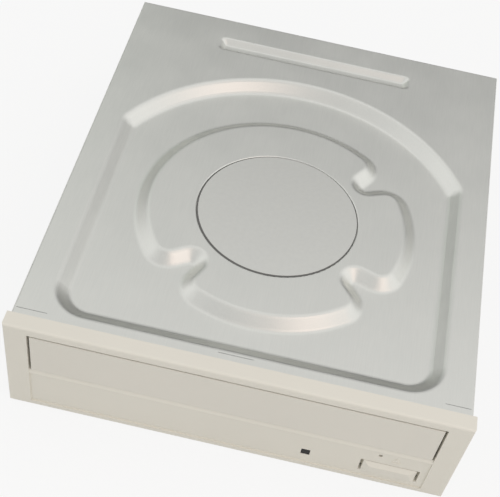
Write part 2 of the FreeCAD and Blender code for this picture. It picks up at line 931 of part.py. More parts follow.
rear_window = box(
    (-row_length / 2 - d.wall_room, rear - 2 * d.sheet, board_top - d.board_thickness - d.wall_room),
    (row_length / 2 + d.wall_room, rear + d.sheet, board_top + d.power_height + d.wall_room),
)
piece(
    cut(
        fuse([hollow_cover] + collars),
        side_holes(d.mount_hole_radius, sheet_inner - 2 * d.collar_length, 4 * d.collar_length)
        + slits
        + [label_hole, rear_window],
    ),
    "top_cover",
)

# Round label plate over the clamper hole of the plateau
piece(rod((0, spindle_y, plateau_top - d.label_step), d.label_radius, d.label_thickness), "label_plate")

# Bottom cover: plate with folded edges, a pressed field, screw dimples and tapped collars
plate_half = sheet_inner - d.cover_fit
plate_rear = rear - d.sheet - d.cover_fit
floor_plate = box((-plate_half, case_front, 0), (plate_half, plate_rear, d.sheet))
side_flanges = [
    box((plate_half - d.sheet, case_front, 0), (plate_half, plate_rear, d.flange_height)),
    box((-plate_half, case_front, 0), (-plate_half + d.sheet, plate_rear, d.flange_height)),
]


def pan(low, lift):
    """The pressed field of the underside between its lower and upper level."""
    start = front + d.pan_front
    sections = []
    for inset, height in ((0.0, low), (d.pan_slope, low + lift)):
        half = float(d.pan_width / 2 - inset)
        corners = [(-half, float(start + inset)), (half, float(start + inset))]
        far = float(start + d.pan_length - inset)
        corners += [(half, far), (-half, far)]
        sections.append(Part.makePolygon([Vector(u, v, float(height)) for u, v in corners + corners[:1]]))
    return formed(Part.makeLoft(sections, True, True))


screw_spots = [
    (side * d.bottom_screw_x, front + setback)
    for setback in (d.bottom_screw_front, d.bottom_screw_rear)
    for side in (-1, 1)
]
raised = [pan(d.sheet, d.pan_depth)]
sunk = [pan(0.0, d.pan_depth)]
for x, y in screw_spots:
    raised.append(cone((x, y, d.sheet), d.dimple_radius, d.dimple_radius - d.dimple_slope, d.dimple_depth))
    sunk.append(cone((x, y, 0), d.dimple_radius, d.dimple_radius - d.dimple_slope, d.dimple_depth))
    sunk.append(rod((x, y, 0), d.screw_shank + d.screw_hole_fit, 2 * d.dimple_depth))
piece(
    cut(
        fuse([floor_plate] + side_flanges + raised
             + bottom_holes(d.mount_hole_radius + d.collar_wall, d.sheet / 2, d.collar_length + d.sheet / 2)),
        sunk + bottom_holes(d.mount_hole_radius, -d.sheet, 4 * d.collar_length),
    ),
    "bottom_cover",
)

# Screws that hold the bottom cover to the main frame
screw_tip = 8.0 * d.screw_shank
head_low = d.dimple_depth - d.screw_shank * 0.8


def cross_recess(x, y):
    """Two crossed slots cut up into a screw head."""
    half = d.cross_width / 2
    reach = d.cross_length / 2
    low = head_low - d.cross_width
    high = head_low + d.cross_depth
    return [
        box((x - reach, y - half, low), (x + reach, y + half, high)),
        box((x - half, y - reach, low), (x + half, y + reach, high)),
    ]


piece(
    group([
        cut(fuse([
            rod((x, y, head_low), d.screw_head, d.screw_shank * 0.8),
            rod((x, y, d.dimple_depth - d.screw_shank * 0.4), d.screw_shank, screw_tip * 0.7),
        ]), cross_recess(x, y))
        for x, y in screw_spots
    ]),
    "bottom_screws",
)

# Front bezel: moulded frame with the tray opening and the sunken lower field
bezel = body("front_bezel_body")
half_bezel = d.bezel_width / 2
half_open = d.opening_width / 2
shell = sketch(bezel, "XZ_Plane")
rectangle(shell, (-half_bezel, 0), (half_bezel, d.bezel_height))
pad(bezel, shell, d.bezel_depth, True)
round_edges(bezel, d.bezel_round, lambda edge: edge.BoundBox.YMax < 0.01)
cavity = sketch(bezel, "XZ_Plane", -d.bezel_depth)
rectangle(
    cavity,
    (-half_bezel + d.bezel_rim, d.bezel_rim),
    (half_bezel - d.bezel_rim, d.bezel_height - d.bezel_rim),
)
pocket(bezel, cavity, d.bezel_depth - d.bezel_face, True)
opening = sketch(bezel, "XZ_Plane")
rectangle(opening, (-half_open, d.opening_bottom), (half_open, d.opening_top))
pocket(bezel, opening, d.bezel_depth)
sill = sketch(bezel, "YZ_Plane", -half_open)
outline(sill, [(0, d.field_top), (d.sill_depth, d.opening_bottom), (0, d.opening_bottom)])
pocket(bezel, sill, d.opening_width, True)
field = sketch(bezel, "XZ_Plane")
rectangle(field, (-half_open, d.field_bottom), (half_open, d.field_top))
pocket(bezel, field, d.field_depth)
cut_outs = sketch(bezel, "XZ_Plane")
button_half = d.button_width / 2 + d.button_side_gap
rectangle(
    cut_outs,
    (d.button_centre - button_half, d.button_low - d.button_slit),
    (d.button_centre + button_half, d.button_high + d.button_slit),
)
rectangle(
    cut_outs,
    (d.lamp_centre - d.lamp_size / 2, d.lamp_height - d.lamp_size / 2),
    (d.lamp_centre + d.lamp_size / 2, d.lamp_height + d.lamp_size / 2),
)
circle(cut_outs, (d.pinhole_centre, d.pinhole_height), d.pinhole_radius)
pocket(bezel, cut_outs, d.bezel_depth)
place(bezel, (0, front, 0))
arm_low = d.deck_height + 1.0
arm_outer = sheet_inner - 1.9
arms = []
for side in (-1, 1):
    near, far = sorted((side * arm_outer, side * (arm_outer - d.arm_thickness)), key=float)
    tip = front + d.bezel_depth + d.arm_length
    arms.append(box((near, front + d.bezel_face / 2, arm_low), (far, tip, arm_low + d.arm_height)))
    inner = side * (d.frame_width / 2 - d.frame_wall / 2)
    near, far = sorted((inner, side * arm_outer), key=float)
    arms.append(box((near, tip - 1.8, arm_low), (far, tip, arm_low + d.arm_height)))
piece(fuse([bezel] + arms), "front_bezel")

# Tray door: a shallow moulded cap that closes the tray opening
door = body("tray_door_body")
door_half = half_open - d.door_gap
door_low = d.opening_bottom + d.door_slit
door_high = d.opening_top - d.door_head_gap
face = sketch(door, "XZ_Plane")
rectangle(face, (-door_half, door_low), (door_half, door_high))
door_body = d.door_depth - d.door_sink
pad(door, face, door_body, True)
round_edges(door, d.door_round, lambda edge: edge.BoundBox.YMax < 0.01)
back = sketch(door, "XZ_Plane", -door_body)
rectangle(
    back,
    (-door_half + d.door_wall, door_low + d.door_wall),
    (door_half - d.door_wall, door_high - d.door_wall),
)
pocket(door, back, door_body - d.door_wall, True)
place(door, (0, front + d.door_sink, 0))
ribs = [
    box((offset * door_half - 0.6, front + d.door_sink + d.door_wall / 2, door_low + 1.0),
        (offset * door_half + 0.6, front + d.door_depth, door_high - 1.0))
    for offset in (-0.66, -0.33, 0.0, 0.33, 0.66)
]
piece(fuse([door] + ribs), "tray_door")

# Eject button: hip-roofed bar on a flange behind the bezel
key = body("eject_button_body")
side_view = sketch(key, "YZ_Plane", -d.button_width / 2)
key_flange = d.bezel_face + 0.3
outline(side_view, [
    (d.field_depth, d.button_high),
    (-d.button_proud, d.button_ridge),
    (-d.button_proud * 0.1, d.button_low),
    (key_flange + 1.0, d.button_low),
    (key_flange + 1.0, d.button_high),
])
pad(key, side_view, d.button_width)
bevels = sketch(key, "XY_Plane", d.button_low - 1.0)
for side in (-1, 1):
    tip = side * d.button_width / 2
    outline(bevels, [
        (tip - side * d.button_bevel, -d.button_proud - 0.2),
        (tip + side * 0.5, -d.button_proud - 0.2),
        (tip + side * 0.5, d.field_depth),
        (tip, d.field_depth),
    ])
pocket(key, bevels, d.button_high - d.button_low + 2.0, True)
lip = sketch(key, "XZ_Plane", -key_flange)
rectangle(
    lip,
    (-button_half - d.flange_lap, d.button_low - d.flange_lap),
    (button_half + d.flange_lap, d.button_high + d.flange_lap),
)
pad(key, lip, 1.0 * d.flange_lap, True)
stem = sketch(key, "XZ_Plane", -key_flange)
stem_middle = (d.button_low + d.button_high) / 2
stem_half = 2.0 * d.flange_lap
rectangle(stem, (-stem_half, stem_middle - d.flange_lap), (stem_half, stem_middle + d.flange_lap))
stem_length = 6.0 * d.flange_lap
pad(key, stem, stem_length, True)
place(key, (d.button_centre, front, 0))
piece(key, "eject_button")

# Lamp window: clear bar that carries the lamp's light to the field
lamp_half = d.lamp_size / 2 - d.lamp_fit
lamp_rear = d.bezel_depth + 3.0
piece(
    fuse([
        box(
            (d.lamp_centre - lamp_half, front + d.field_depth + 0.1, d.lamp_height - lamp_half),
            (d.lamp_centre + lamp_half, front + lamp_rear, d.lamp_height + lamp_half),
        ),
        box(
            (d.lamp_centre - d.lamp_size, front + d.bezel_face, d.lamp_height - d.lamp_size),
            (d.lamp_centre + d.lamp_size, front + d.bezel_face + 1.0, d.lamp_height + d.lamp_size),
        ),
    ]),
    "lamp_window",
)

# Main frame: moulded chassis that carries the tray, the loading gears and the traverse
frame_half = d.frame_width / 2
frame_front = front + d.frame_front
frame_rear = front + d.frame_rear
deck_low = d.deck_height - d.deck_thickness
deck_rear = front + d.deck_rear
gear_y = front + d.gear_setback
pulley_x = d.tray_gear_x - d.fine_module * (d.big_teeth + d.small_teeth) / 2
motor_x = pulley_x - d.motor_span
bore_side = d.holder_width / 2 + 1.5
slider_rear = front + d.cam_setback + d.cam_thickness
bridge_front = spindle_y - d.bridge_length / 2
stem_end = front + key_flange + stem_length
switch_front = stem_end + d.button_travel + 0.1
switch_rear = switch_front + 5.0
frame_parts = [
    box(
        (-frame_half, frame_front, d.frame_bottom),
        (pulley_x - 4.0, frame_front + d.frame_wall, d.deck_height + 4.0),
    ),
    box((-frame_half, frame_rear - d.frame_wall, d.rear_wall_low), (frame_half, frame_rear, d.frame_top)),
    box((-frame_half, frame_front + 1.0, deck_low), (frame_half, deck_rear, d.deck_height)),
    box((-frame_half, deck_rear - 0.5, d.frame_bottom + 2.0), (frame_half, deck_rear + 1.5, d.deck_height)),
]
frame_cuts = [
    rod((motor_x, gear_y, deck_low - 1.0), 4.0 * d.motor_shaft_radius, d.deck_thickness + 2.0),
    box(
        (d.lamp_centre - 2.4, frame_front, deck_low - 1.0),
        (d.button_centre + 2.6, switch_rear + 0.6, d.deck_height + 1.0),
    ),
]
collar_room = d.mount_hole_radius + d.collar_wall + d.running_gap
frame_cuts += bottom_holes(collar_room, d.sheet / 2, d.collar_length + d.sheet)
for side in (-1, 1):
    def span(inner, outer, start, end, low, high):
        """A block on one side between two distances from the middle plane."""
        near, far = sorted((side * inner, side * outer), key=float)
        return box((near, start, low), (far, end, high))

    frame_parts += [
        span(frame_inner, frame_half, frame_front, frame_rear, d.frame_bottom, d.frame_top),
        span(frame_inner - d.ledge_reach, frame_half, frame_front + d.frame_wall, frame_rear,
             d.ledge_top - d.ledge_thickness, d.ledge_top),
        span(frame_inner - 3.5, frame_half, frame_front + d.frame_wall, front + d.guide_rear,
             d.tray_top + 0.3, d.frame_top - 0.8),
        span(frame_inner - d.shelf_reach, frame_half, deck_rear, slider_rear + d.shelf_margin,
             d.frame_bottom, d.cam_low - d.running_gap),
        span(frame_inner - d.brace_reach, frame_half, deck_rear - d.brace_lap, deck_rear + d.brace_length,
             d.frame_bottom, d.frame_bottom + d.brace_height),
        span(frame_inner - d.keeper_reach, frame_inner - d.keeper_inset,
             slider_rear + d.running_gap, slider_rear + d.keeper_setback,
             d.frame_bottom, d.frame_bottom + d.keeper_height),
        span(bore_side, frame_half, pivot_y - d.pivot_block_half, pivot_y + d.pivot_block_half,
             d.pivot_height - d.pivot_block_half, d.pivot_height + d.pivot_block_half),
        rod((side * d.bottom_screw_x, front + d.bottom_screw_front, d.dimple_depth + d.sheet),
            2.2 * d.screw_shank, deck_low - d.dimple_depth),
        rod((side * d.bottom_screw_x, front + d.bottom_screw_rear, d.dimple_depth + d.sheet),
            2.2 * d.screw_shank, d.ledge_top - d.dimple_depth - d.sheet),
        span(frame_inner - d.ledge_reach, frame_half, frame_rear - 9.0, frame_rear,
             d.ledge_top - 6.0, d.ledge_top),
    ]
    frame_parts += [
        rod((side * post_x, front + setback, board_top), 2.0 * d.screw_shank, d.ledge_top - board_top)
        for setback in post_setbacks
    ]
    frame_cuts += [
        rod((-frame_half - 1.0, pivot_y, d.pivot_height),
            d.pivot_radius + d.pivot_fit, d.frame_width + 2.0, "x"),
        span(frame_half - d.frame_wall, frame_half + 1.0, front + d.bezel_depth + d.arm_length - 2.1,
             front + d.bezel_depth + d.arm_length + 0.4, arm_low - 0.4, arm_low + d.arm_height + 0.4),
        span(frame_half - 4.0, frame_half + 1.0, bridge_front - 0.2, bridge_front + d.bridge_length + 0.2,
             d.bridge_low, d.frame_top + 1.0),
        rod((side * d.bottom_screw_x, front + d.bottom_screw_front, d.dimple_depth),
            d.screw_shank + d.screw_hole_fit / 2, screw_tip * 0.8),
        rod((side * d.bottom_screw_x, front + d.bottom_screw_rear, d.dimple_depth),
            d.screw_shank + d.screw_hole_fit / 2, screw_tip * 0.8),
    ]
    frame_cuts += [
        rod((side * post_x, front + setback, board_top - 1.0),
            d.screw_shank + d.screw_hole_fit / 2, 8.0 * d.screw_shank)
        for setback in post_setbacks
    ]
post_low = d.deck_height - 1.0
frame_parts += [
    rod((d.tray_gear_x, gear_y, post_low), d.post_radius, d.pinion_top - post_low),
    rod((pulley_x, gear_y, post_low), d.post_radius, d.gear_low + d.gear_thickness - post_low),
]
piece(cut(fuse(frame_parts), frame_cuts), "main_frame")

# Disc tray: moulded drawer with two disc seats, a pickup window and a gear rack
tray = body("disc_tray_body")
tray_half = d.tray_width / 2
drawer = sketch(tray, "XY_Plane", d.tray_underside)
rectangle(drawer, (-tray_half, front + d.tray_front + 2.8), (tray_half, front + d.tray_rear))
pad(tray, drawer, d.tray_top - d.tray_underside)
round_edges(tray, 2.0 * d.door_wall, lambda edge: edge.BoundBox.ZLength > 1 and edge.BoundBox.YMin > 0)
seat = sketch(tray, "XY_Plane", d.tray_top)
circle(seat, (0, spindle_y), d.disc_recess_radius)
pocket(tray, seat, d.tray_top - d.disc_floor)
small_seat = sketch(tray, "XY_Plane", d.tray_top)
circle(small_seat, (0, spindle_y), d.small_recess_radius)
pocket(tray, small_seat, d.tray_top - d.small_floor)
window = sketch(tray, "XY_Plane", d.tray_top)
half_window = d.window_width / 2
outline(window, [
    (-half_window, spindle_y + d.window_taper),
    (-half_window + d.window_shoulder_inset, spindle_y - d.window_shoulder_reach),
    (-half_window + d.window_nose_inset, spindle_y - d.window_nose_reach),
    (half_window - d.window_nose_inset, spindle_y - d.window_nose_reach),
    (half_window - d.window_shoulder_inset, spindle_y - d.window_shoulder_reach),
    (half_window, spindle_y + d.window_taper),
    (half_window, front + d.window_rear),
    (-half_window, front + d.window_rear),
])
pocket(tray, window, 2 * (d.tray_top - d.tray_underside))


def at_window_front(edge):
    """Whether an edge is one of the upright corners at the front end of the pickup window."""
    spot = edge.BoundBox
    upright = spot.ZLength > 0.5 and spot.XLength < 0.01 and spot.YLength < 0.01
    inside = max(abs(spot.XMin), abs(spot.XMax)) < float(half_window) + 0.1
    near = abs(spot.YMin - float(spindle_y)) < float(d.window_nose_reach) + 0.1
    return upright and inside and near


round_edges(tray, d.window_round, at_window_front)
finger = sketch(tray, "XY_Plane", d.tray_top)
finger_near = front + d.finger_setback
finger_far = front + d.finger_setback + d.finger_length
finger_outer = tray_half - d.finger_inset
finger_inner = tray_half - d.finger_inset - d.finger_width
rectangle(finger, (-finger_outer, finger_near), (-finger_inner, finger_far))
rectangle(finger, (finger_inner, finger_near), (finger_outer, finger_far))
pocket(tray, finger, d.tray_top - d.disc_floor)


def rack_shape():
    """The straight rack under the tray, with its teeth towards the pinion."""
    module = float(d.coarse_module)
    pitch = math.pi * module
    line = float(d.tray_gear_x + d.coarse_module * d.pinion_teeth / 2)
    tip = line - 0.75 * module
    root = line + 1.1 * module
    lean = math.tan(math.radians(20))
    half = pitch / 4 - float(d.backlash) / 4
    count = int((float(d.tray_rear - d.gear_setback) - 4) / pitch)
    points = []
    for i in range(-1, count):
        middle = float(gear_y) + i * pitch
        points += [
            (root, middle - half - lean * 1.1 * module),
            (tip, middle - half + lean * 0.75 * module),
            (tip, middle + half - lean * 0.75 * module),
            (root, middle + half + lean * 1.1 * module),
        ]
    back = root + 2.6
    points += [(back, points[-1][1]), (back, points[0][1])]
    low = float(d.gear_low + d.gear_thickness + 0.8)
    wire = Part.makePolygon([Vector(u, v, low) for u, v in points + points[:1]])
    return Part.Face(wire).extrude(Vector(0, 0, float(d.tray_underside) + 0.4 - low))


tray_front = front + d.tray_front
tray_parts = [
    tray,
    formed(rack_shape()),
    box(
        (-tray_half + 5.0, tray_front, d.opening_bottom + 2.0),
        (tray_half - 5.0, tray_front + 2.8, d.opening_top - 2.0),
    ),
]
for side in (-1, 1):
    near, far = sorted((side * tray_half, side * (tray_half - d.tray_rail)), key=float)
    tray_parts.append(
        box(
            (near, tray_front + 2.8, d.tray_rail_bottom),
            (far, front + d.tray_rear - 4.0, d.tray_underside + 0.4),
        )
    )
piece(fuse(tray_parts), "disc_tray")


# Loading gears

def gear_shape(module, teeth, thickness, shift):
    """An involute spur gear with short teeth; shift turns it by a share of one tooth."""
    pitch = module * teeth / 2
    base = pitch * math.cos(math.radians(20))
    tip = pitch + 0.75 * module
    root = pitch - 1.1 * module
    involute = math.tan(math.radians(20)) - math.radians(20)
    half = math.pi / (2 * teeth) - float(d.backlash) / (4 * pitch) + involute
    start = max(base, root)
    edges = []

    def spot(radius, angle):
        return Vector(radius * math.cos(angle), radius * math.sin(angle), 0)

    for i in range(teeth):
        centre = 2 * math.pi * (i + shift) / teeth
        rise = []
        for step in range(4):
            radius = start + (tip - start) * step / 3
            pressure = math.acos(min(1.0, base / radius))
            rise.append((radius, half - (math.tan(pressure) - pressure)))
        left = [spot(radius, centre - angle) for radius, angle in rise]
        right = [spot(radius, centre + angle) for radius, angle in reversed(rise)]
        flank_in = Part.BSplineCurve()
        flank_in.interpolate(left)
        flank_out = Part.BSplineCurve()
        flank_out.interpolate(right)
        foot_in = spot(root, centre - rise[0][1])
        foot_out = spot(root, centre + rise[0][1])
        following = spot(root, centre + 2 * math.pi / teeth - rise[0][1])
        if start > root:
            edges.append(line_edge(foot_in, left[0]))
        edges.append(flank_in.toShape())
        edges.append(line_edge(left[-1], right[0]))
        edges.append(flank_out.toShape())
        if start > root:
            edges.append(line_edge(right[-1], foot_out))
        edges.append(line_edge(foot_out, following))
    return Part.Face(Part.Wire(edges)).extrude(Vector(0, 0, thickness))


def gear(module, teeth, x, low, high, shift):
    """A gear blank on the sheet's sizes, set at its own height."""
    wheel = formed(gear_shape(float(module), int(float(teeth)), float(high - low), shift))
    place(wheel, (x, gear_y, low))
    return wheel


post_bore = d.post_radius + d.post_fit
gear_high = d.gear_low + d.gear_thickness
tray_gear = fuse([
    gear(d.fine_module, d.big_teeth, d.tray_gear_x, d.gear_low, gear_high, 0.0),
    gear(d.coarse_module, d.pinion_teeth, d.tray_gear_x, d.gear_low + 1.0, d.pinion_top, 0.5),
    rod((d.tray_gear_x, gear_y, d.deck_height),
        2.0 * d.post_radius, d.gear_thickness + d.gear_low - d.deck_height),
])
piece(
    cut(tray_gear, [
        rod((d.tray_gear_x, gear_y, d.deck_height - 1.0), post_bore, d.pinion_top - d.deck_height + 2.0),
    ]),
    "tray_gear",
)
pulley = turned_body([
    (post_bore, 0),
    (d.pulley_radius + d.pulley_flange, 0),
    (d.pulley_radius + d.pulley_flange, d.belt_size),
    (d.pulley_radius, d.belt_size * 1.5),
    (d.pulley_radius, d.belt_size * 3.0),
    (d.pulley_radius + d.pulley_flange, d.belt_size * 3.5),
    (d.pulley_radius + d.pulley_flange, d.belt_size * 4.0),
    (post_bore, d.belt_size * 4.0),
])
place(pulley, (pulley_x, gear_y, d.deck_height))
pulley_gear = fuse([
    pulley,
    gear(d.fine_module, d.small_teeth, pulley_x, d.deck_height + d.belt_size * 3.5, gear_high, 0.5),
])
piece(
    cut(pulley_gear, [
        rod((pulley_x, gear_y, d.deck_height - 1.0), post_bore, gear_high - d.deck_height + 2.0),
    ]),
    "pulley_gear",
)
motor_pulley = turned_body([
    (0, deck_low - d.deck_height + 0.4),
    (d.motor_shaft_radius, deck_low - d.deck_height + 0.4),
    (d.motor_shaft_radius, d.belt_size * 0.5),
    (d.motor_pulley_radius + d.pulley_flange, d.belt_size * 0.5),
    (d.motor_pulley_radius + d.pulley_flange, d.belt_size),
    (d.motor_pulley_radius, d.belt_size * 1.5),
    (d.motor_pulley_radius, d.belt_size * 3.0),
    (d.motor_pulley_radius + d.pulley_flange, d.belt_size * 3.5),
    (d.motor_pulley_radius + d.pulley_flange, d.belt_size * 4.0),
    (0, d.belt_size * 4.0),
])
place(motor_pulley, (motor_x, gear_y, d.deck_height))
piece(motor_pulley, "motor_pulley")


def belt_shape():
    """A square rubber belt round the two pulleys."""
    span = float(d.motor_span)
    faces = []
    for growth in (float(d.belt_gap), float(d.belt_gap + d.belt_size)):
        big = float(d.pulley_radius) + growth
        small = float(d.motor_pulley_radius) + growth
        lean = math.acos((big - small) / span)
        wheel = Vector(0, 0, 0)
        driver = Vector(-span, 0, 0)
        toward = math.pi - lean
        upper = Vector(math.cos(toward), math.sin(toward), 0)
        lower = Vector(math.cos(toward), -math.sin(toward), 0)
        faces.append(Part.Face(Part.Wire([
            arc_edge(wheel, big, -toward, toward),
            line_edge(wheel + upper * big, driver + upper * small),
            arc_edge(driver, small, toward, 2 * math.pi - toward),
            line_edge(driver + lower * small, wheel + lower * big),
        ])))
    return faces[1].cut(faces[0]).extrude(Vector(0, 0, float(d.belt_size)))


belt = formed(belt_shape())
place(belt, (pulley_x, gear_y, d.deck_height + d.belt_size * 1.65))
piece(belt, "drive_belt")

# Loading motor under the deck
piece(
    cut(
        fuse([
            rod((motor_x, gear_y, d.motor_bottom), d.motor_radius, deck_low - d.motor_bottom),
            rod((motor_x, gear_y, d.motor_bottom - 1.0), d.motor_radius * 0.35, 2.0 * d.motor_shaft_radius),
        ]),
        [rod((motor_x, gear_y, deck_low - 4.0), d.motor_shaft_radius + 0.1, 8.0)],
    ),
    "loading_motor",
)

# Cam slider: upright plate whose slanted slots lift the front of the traverse
swing_y = d.cam_setback + d.cam_thickness / 2 - d.pivot_setback
swing_z = float(d.cam_pin_height - d.pivot_height)
tilt_angle = math.radians(d.tilt)
pin_low = float(d.pivot_height) + float(swing_y) * math.sin(tilt_angle) + swing_z * math.cos(tilt_angle)


def slot_shape(x):
    """One slanted slot from the lowered to the raised place of a traverse pin."""
    radius = float(d.cam_pin_radius + d.cam_slot_gap)
    low = Vector(x, 0, pin_low)
    high = Vector(x - float(d.cam_travel), 0, float(d.cam_pin_height))
    along = (high - low).normalize()
    across = Vector(along.z, 0, -along.x) * radius
    edges = [
        line_edge(low + across, high + across),
        Part.Arc(high + across, high + along * radius, high - across).toShape(),
        line_edge(high - across, low - across),
        Part.Arc(low - across, low - along * radius, low + across).toShape(),
    ]
    slot = Part.Face(Part.Wire(edges)).extrude(Vector(0, float(d.cam_thickness) + 2, 0))
    slot.translate(Vector(0, float(front + d.cam_setback) - 1, 0))
    return slot


cam_y = front + d.cam_setback
cam_lug_top = d.deck_height + d.cam_lug_lift + d.cam_lug_thickness
slider = fuse([
    box((-d.cam_left, cam_y, d.cam_low), (d.cam_right, cam_y + d.cam_thickness, d.cam_high)),
    box(
        (d.cam_right - d.cam_lug_length, cam_y - d.cam_lug_reach, d.deck_height + d.cam_lug_lift),
        (d.cam_right, cam_y + d.cam_lug_lap, cam_lug_top),
    ),
    box(
        (d.cam_right - d.cam_lug_length, cam_y, d.cam_low),
        (d.cam_right, cam_y + d.cam_thickness, cam_lug_top),
    ),
])
piece(
    cut(slider, [formed(slot_shape(float(d.cam_pin_x))), formed(slot_shape(-float(d.cam_pin_x)))]),
    "cam_slider",
)

# Traverse holder: moulded frame on rear pivots with two front pins in the cam slots
lowered = tilted()


def lowered_at(x, y, z):
    """The lowered placement of a piece drawn about its own axis."""
    return lowered.multiply(Placement(Vector(float(x), float(y), float(z)), Rotation()))


holder_half = d.holder_width / 2
holder_front = front + d.holder_front
holder_rear = front + d.holder_rear
damper_spots = [
    (side * d.damper_x, front + setback)
    for setback in (d.damper_front, d.damper_rear)
    for side in (-1, 1)
]
lug_high = d.plate_low - d.damper_flange
holder_parts = [
    cut(
        box((-holder_half, holder_front, d.holder_low), (holder_half, holder_rear, d.holder_high)),
        [box(
            (-holder_half + d.holder_wall, holder_front + d.holder_wall, d.holder_low - 1.0),
            (holder_half - d.holder_wall, holder_rear - d.holder_wall, d.holder_high + 1.0),
        )],
    ),
    rod((-holder_half - 6.0, pivot_y, d.pivot_height), d.pivot_radius, 8.0, "x"),
    rod((holder_half - 2.0, pivot_y, d.pivot_height), d.pivot_radius, 8.0, "x"),
]
holder_cuts = []
for x, y in damper_spots:
    outward = math.copysign(1.0, float(x))
    near, far = sorted((x - outward * 5.5, outward * (holder_half - 1.0)), key=float)
    holder_parts.append(box((near, y - 5.5, d.holder_low), (far, y + 5.5, lug_high)))
    holder_cuts.append(rod((x, y, d.holder_low - 1.0), d.damper_bore - 0.05, 6.0))
for side in (-1, 1):
    holder_parts.append(
        rod((side * d.cam_pin_x, cam_y + 0.2, d.cam_pin_height),
            d.cam_pin_radius, d.holder_front - d.cam_setback + 1.0, "y")
    )
piece(cut(fuse(holder_parts), holder_cuts), "traverse_holder", lowered)

# Traverse plate: pressed steel base of the spindle and the pickup sled
base_plate = body("traverse_plate_body")
blank = sketch(base_plate, "XY_Plane", d.plate_low)
plate_edge = d.holder_wall + d.plate_gap
rectangle(
    blank,
    (-holder_half + plate_edge, holder_front + plate_edge),
    (holder_half - plate_edge, holder_rear - plate_edge),
)
pad(base_plate, blank, d.plate_thickness)
openings = sketch(base_plate, "XY_Plane", d.plate_low + d.plate_thickness)
pickup_half = d.pickup_width / 2
rectangle(openings, (-d.rod_x + 4.0, front + d.rod_front + 5.0), (d.rod_x - 4.0, front + d.rod_rear - 4.0))
circle(openings, (0, spindle_y), d.rotor_radius - 1.0)
for x, y in damper_spots:
    circle(openings, (x, y), d.damper_neck + 0.05)
pocket(base_plate, openings, 2.0 * d.plate_thickness)
piece(base_plate, "traverse_plate", lowered)

# Rubber dampers and the screws that hold them
plate_high = d.plate_low + d.plate_thickness
dampers = []
damper_screws = []
for x, y in damper_spots:
    grommet = fuse([
        rod((x, y, lug_high), d.damper_radius, d.damper_flange),
        rod((x, y, lug_high), d.damper_neck, d.plate_thickness + 2.0 * d.damper_flange),
        rod((x, y, plate_high), d.damper_radius, d.damper_flange),
    ])
    dampers.append(cut(grommet, [rod((x, y, lug_high - 1.0), d.damper_bore, 8.0)]))
    damper_screws.append(fuse([
        rod((x, y, plate_high + d.damper_flange), 2.2 * d.damper_bore, d.damper_flange),
        rod((x, y, d.holder_low + 0.2),
            d.damper_bore - 0.1, plate_high + d.damper_flange - d.holder_low + 0.3),
    ]))
piece(group(dampers), "rubber_dampers", lowered)
piece(group(damper_screws), "damper_screws", lowered)

# Spindle motor: base with bearing sleeve, stator, rotor cup
bearing_bore = d.spindle_shaft + d.bearing_fit
sleeve_top = d.rotor_top - 2.0 * d.rotor_wall
spindle_base = turned_body([
    (bearing_bore, d.plate_low - 2.2),
    (d.rotor_radius + 3.0, d.plate_low - 1.6),
    (d.rotor_radius + 3.0, d.plate_low),
    (4.0, d.plate_low),
    (4.0, sleeve_top),
    (bearing_bore, sleeve_top),
])
piece(spindle_base, "spindle_base", lowered_at(0, spindle_y, 0))
stator = turned_body([
    (4.0, d.rotor_low + 0.6),
    (d.rotor_radius - 2.0 * d.rotor_wall, d.rotor_low + 0.6),
    (d.rotor_radius - 2.0 * d.rotor_wall, sleeve_top - 1.6),
    (4.0, sleeve_top - 1.6),
])
piece(stator, "stator_core", lowered_at(0, spindle_y, 0))
rotor = turned_body([
    (0, d.plate_low - 0.5),
    (d.spindle_shaft, d.plate_low - 0.5),
    (d.spindle_shaft, d.rotor_top - d.rotor_wall),
    (d.rotor_radius - d.rotor_wall, d.rotor_top - d.rotor_wall),
    (d.rotor_radius - d.rotor_wall, d.rotor_low),
    (d.rotor_radius, d.rotor_low),
    (d.rotor_radius, d.rotor_top),
    (0, d.rotor_top),
])
piece(rotor, "rotor_cup", lowered_at(0, spindle_y, 0))

# Turntable: seat ring, rubber pad, centring cone and hub magnet
pad_low = d.disc_seat - d.pad_thickness
magnet_low = d.cone_top - 1.0
turntable = turned_body([
    (0, d.rotor_top),
    (d.turntable_radius - 1.5, d.rotor_top),
    (d.turntable_radius, d.rotor_top + 1.5),
    (d.turntable_radius, pad_low),
    (d.cone_radius + 0.6, pad_low),
    (d.cone_radius, d.disc_seat),
    (d.cone_radius - 0.9, d.cone_top),
    (d.cone_radius - 2.4, d.cone_top),
    (d.cone_radius - 2.4, magnet_low),
    (0, magnet_low),
])
piece(turntable, "turntable", lowered_at(0, spindle_y, 0))
pad_ring = turned_body([
    (d.cone_radius + 1.6, pad_low),
    (d.turntable_radius - 0.3, pad_low),
    (d.turntable_radius - 0.3, d.disc_seat),
    (d.cone_radius + 1.6, d.disc_seat),
])
piece(pad_ring, "turntable_pad", lowered_at(0, spindle_y, 0))
hub_magnet = turned_body([
    (1.2, magnet_low),
    (d.cone_radius - 2.45, magnet_low),
    (d.cone_radius - 2.45, d.cone_top - 0.1),
    (1.2, d.cone_top - 0.1),
])
piece(hub_magnet, "hub_magnet", lowered_at(0, spindle_y, 0))

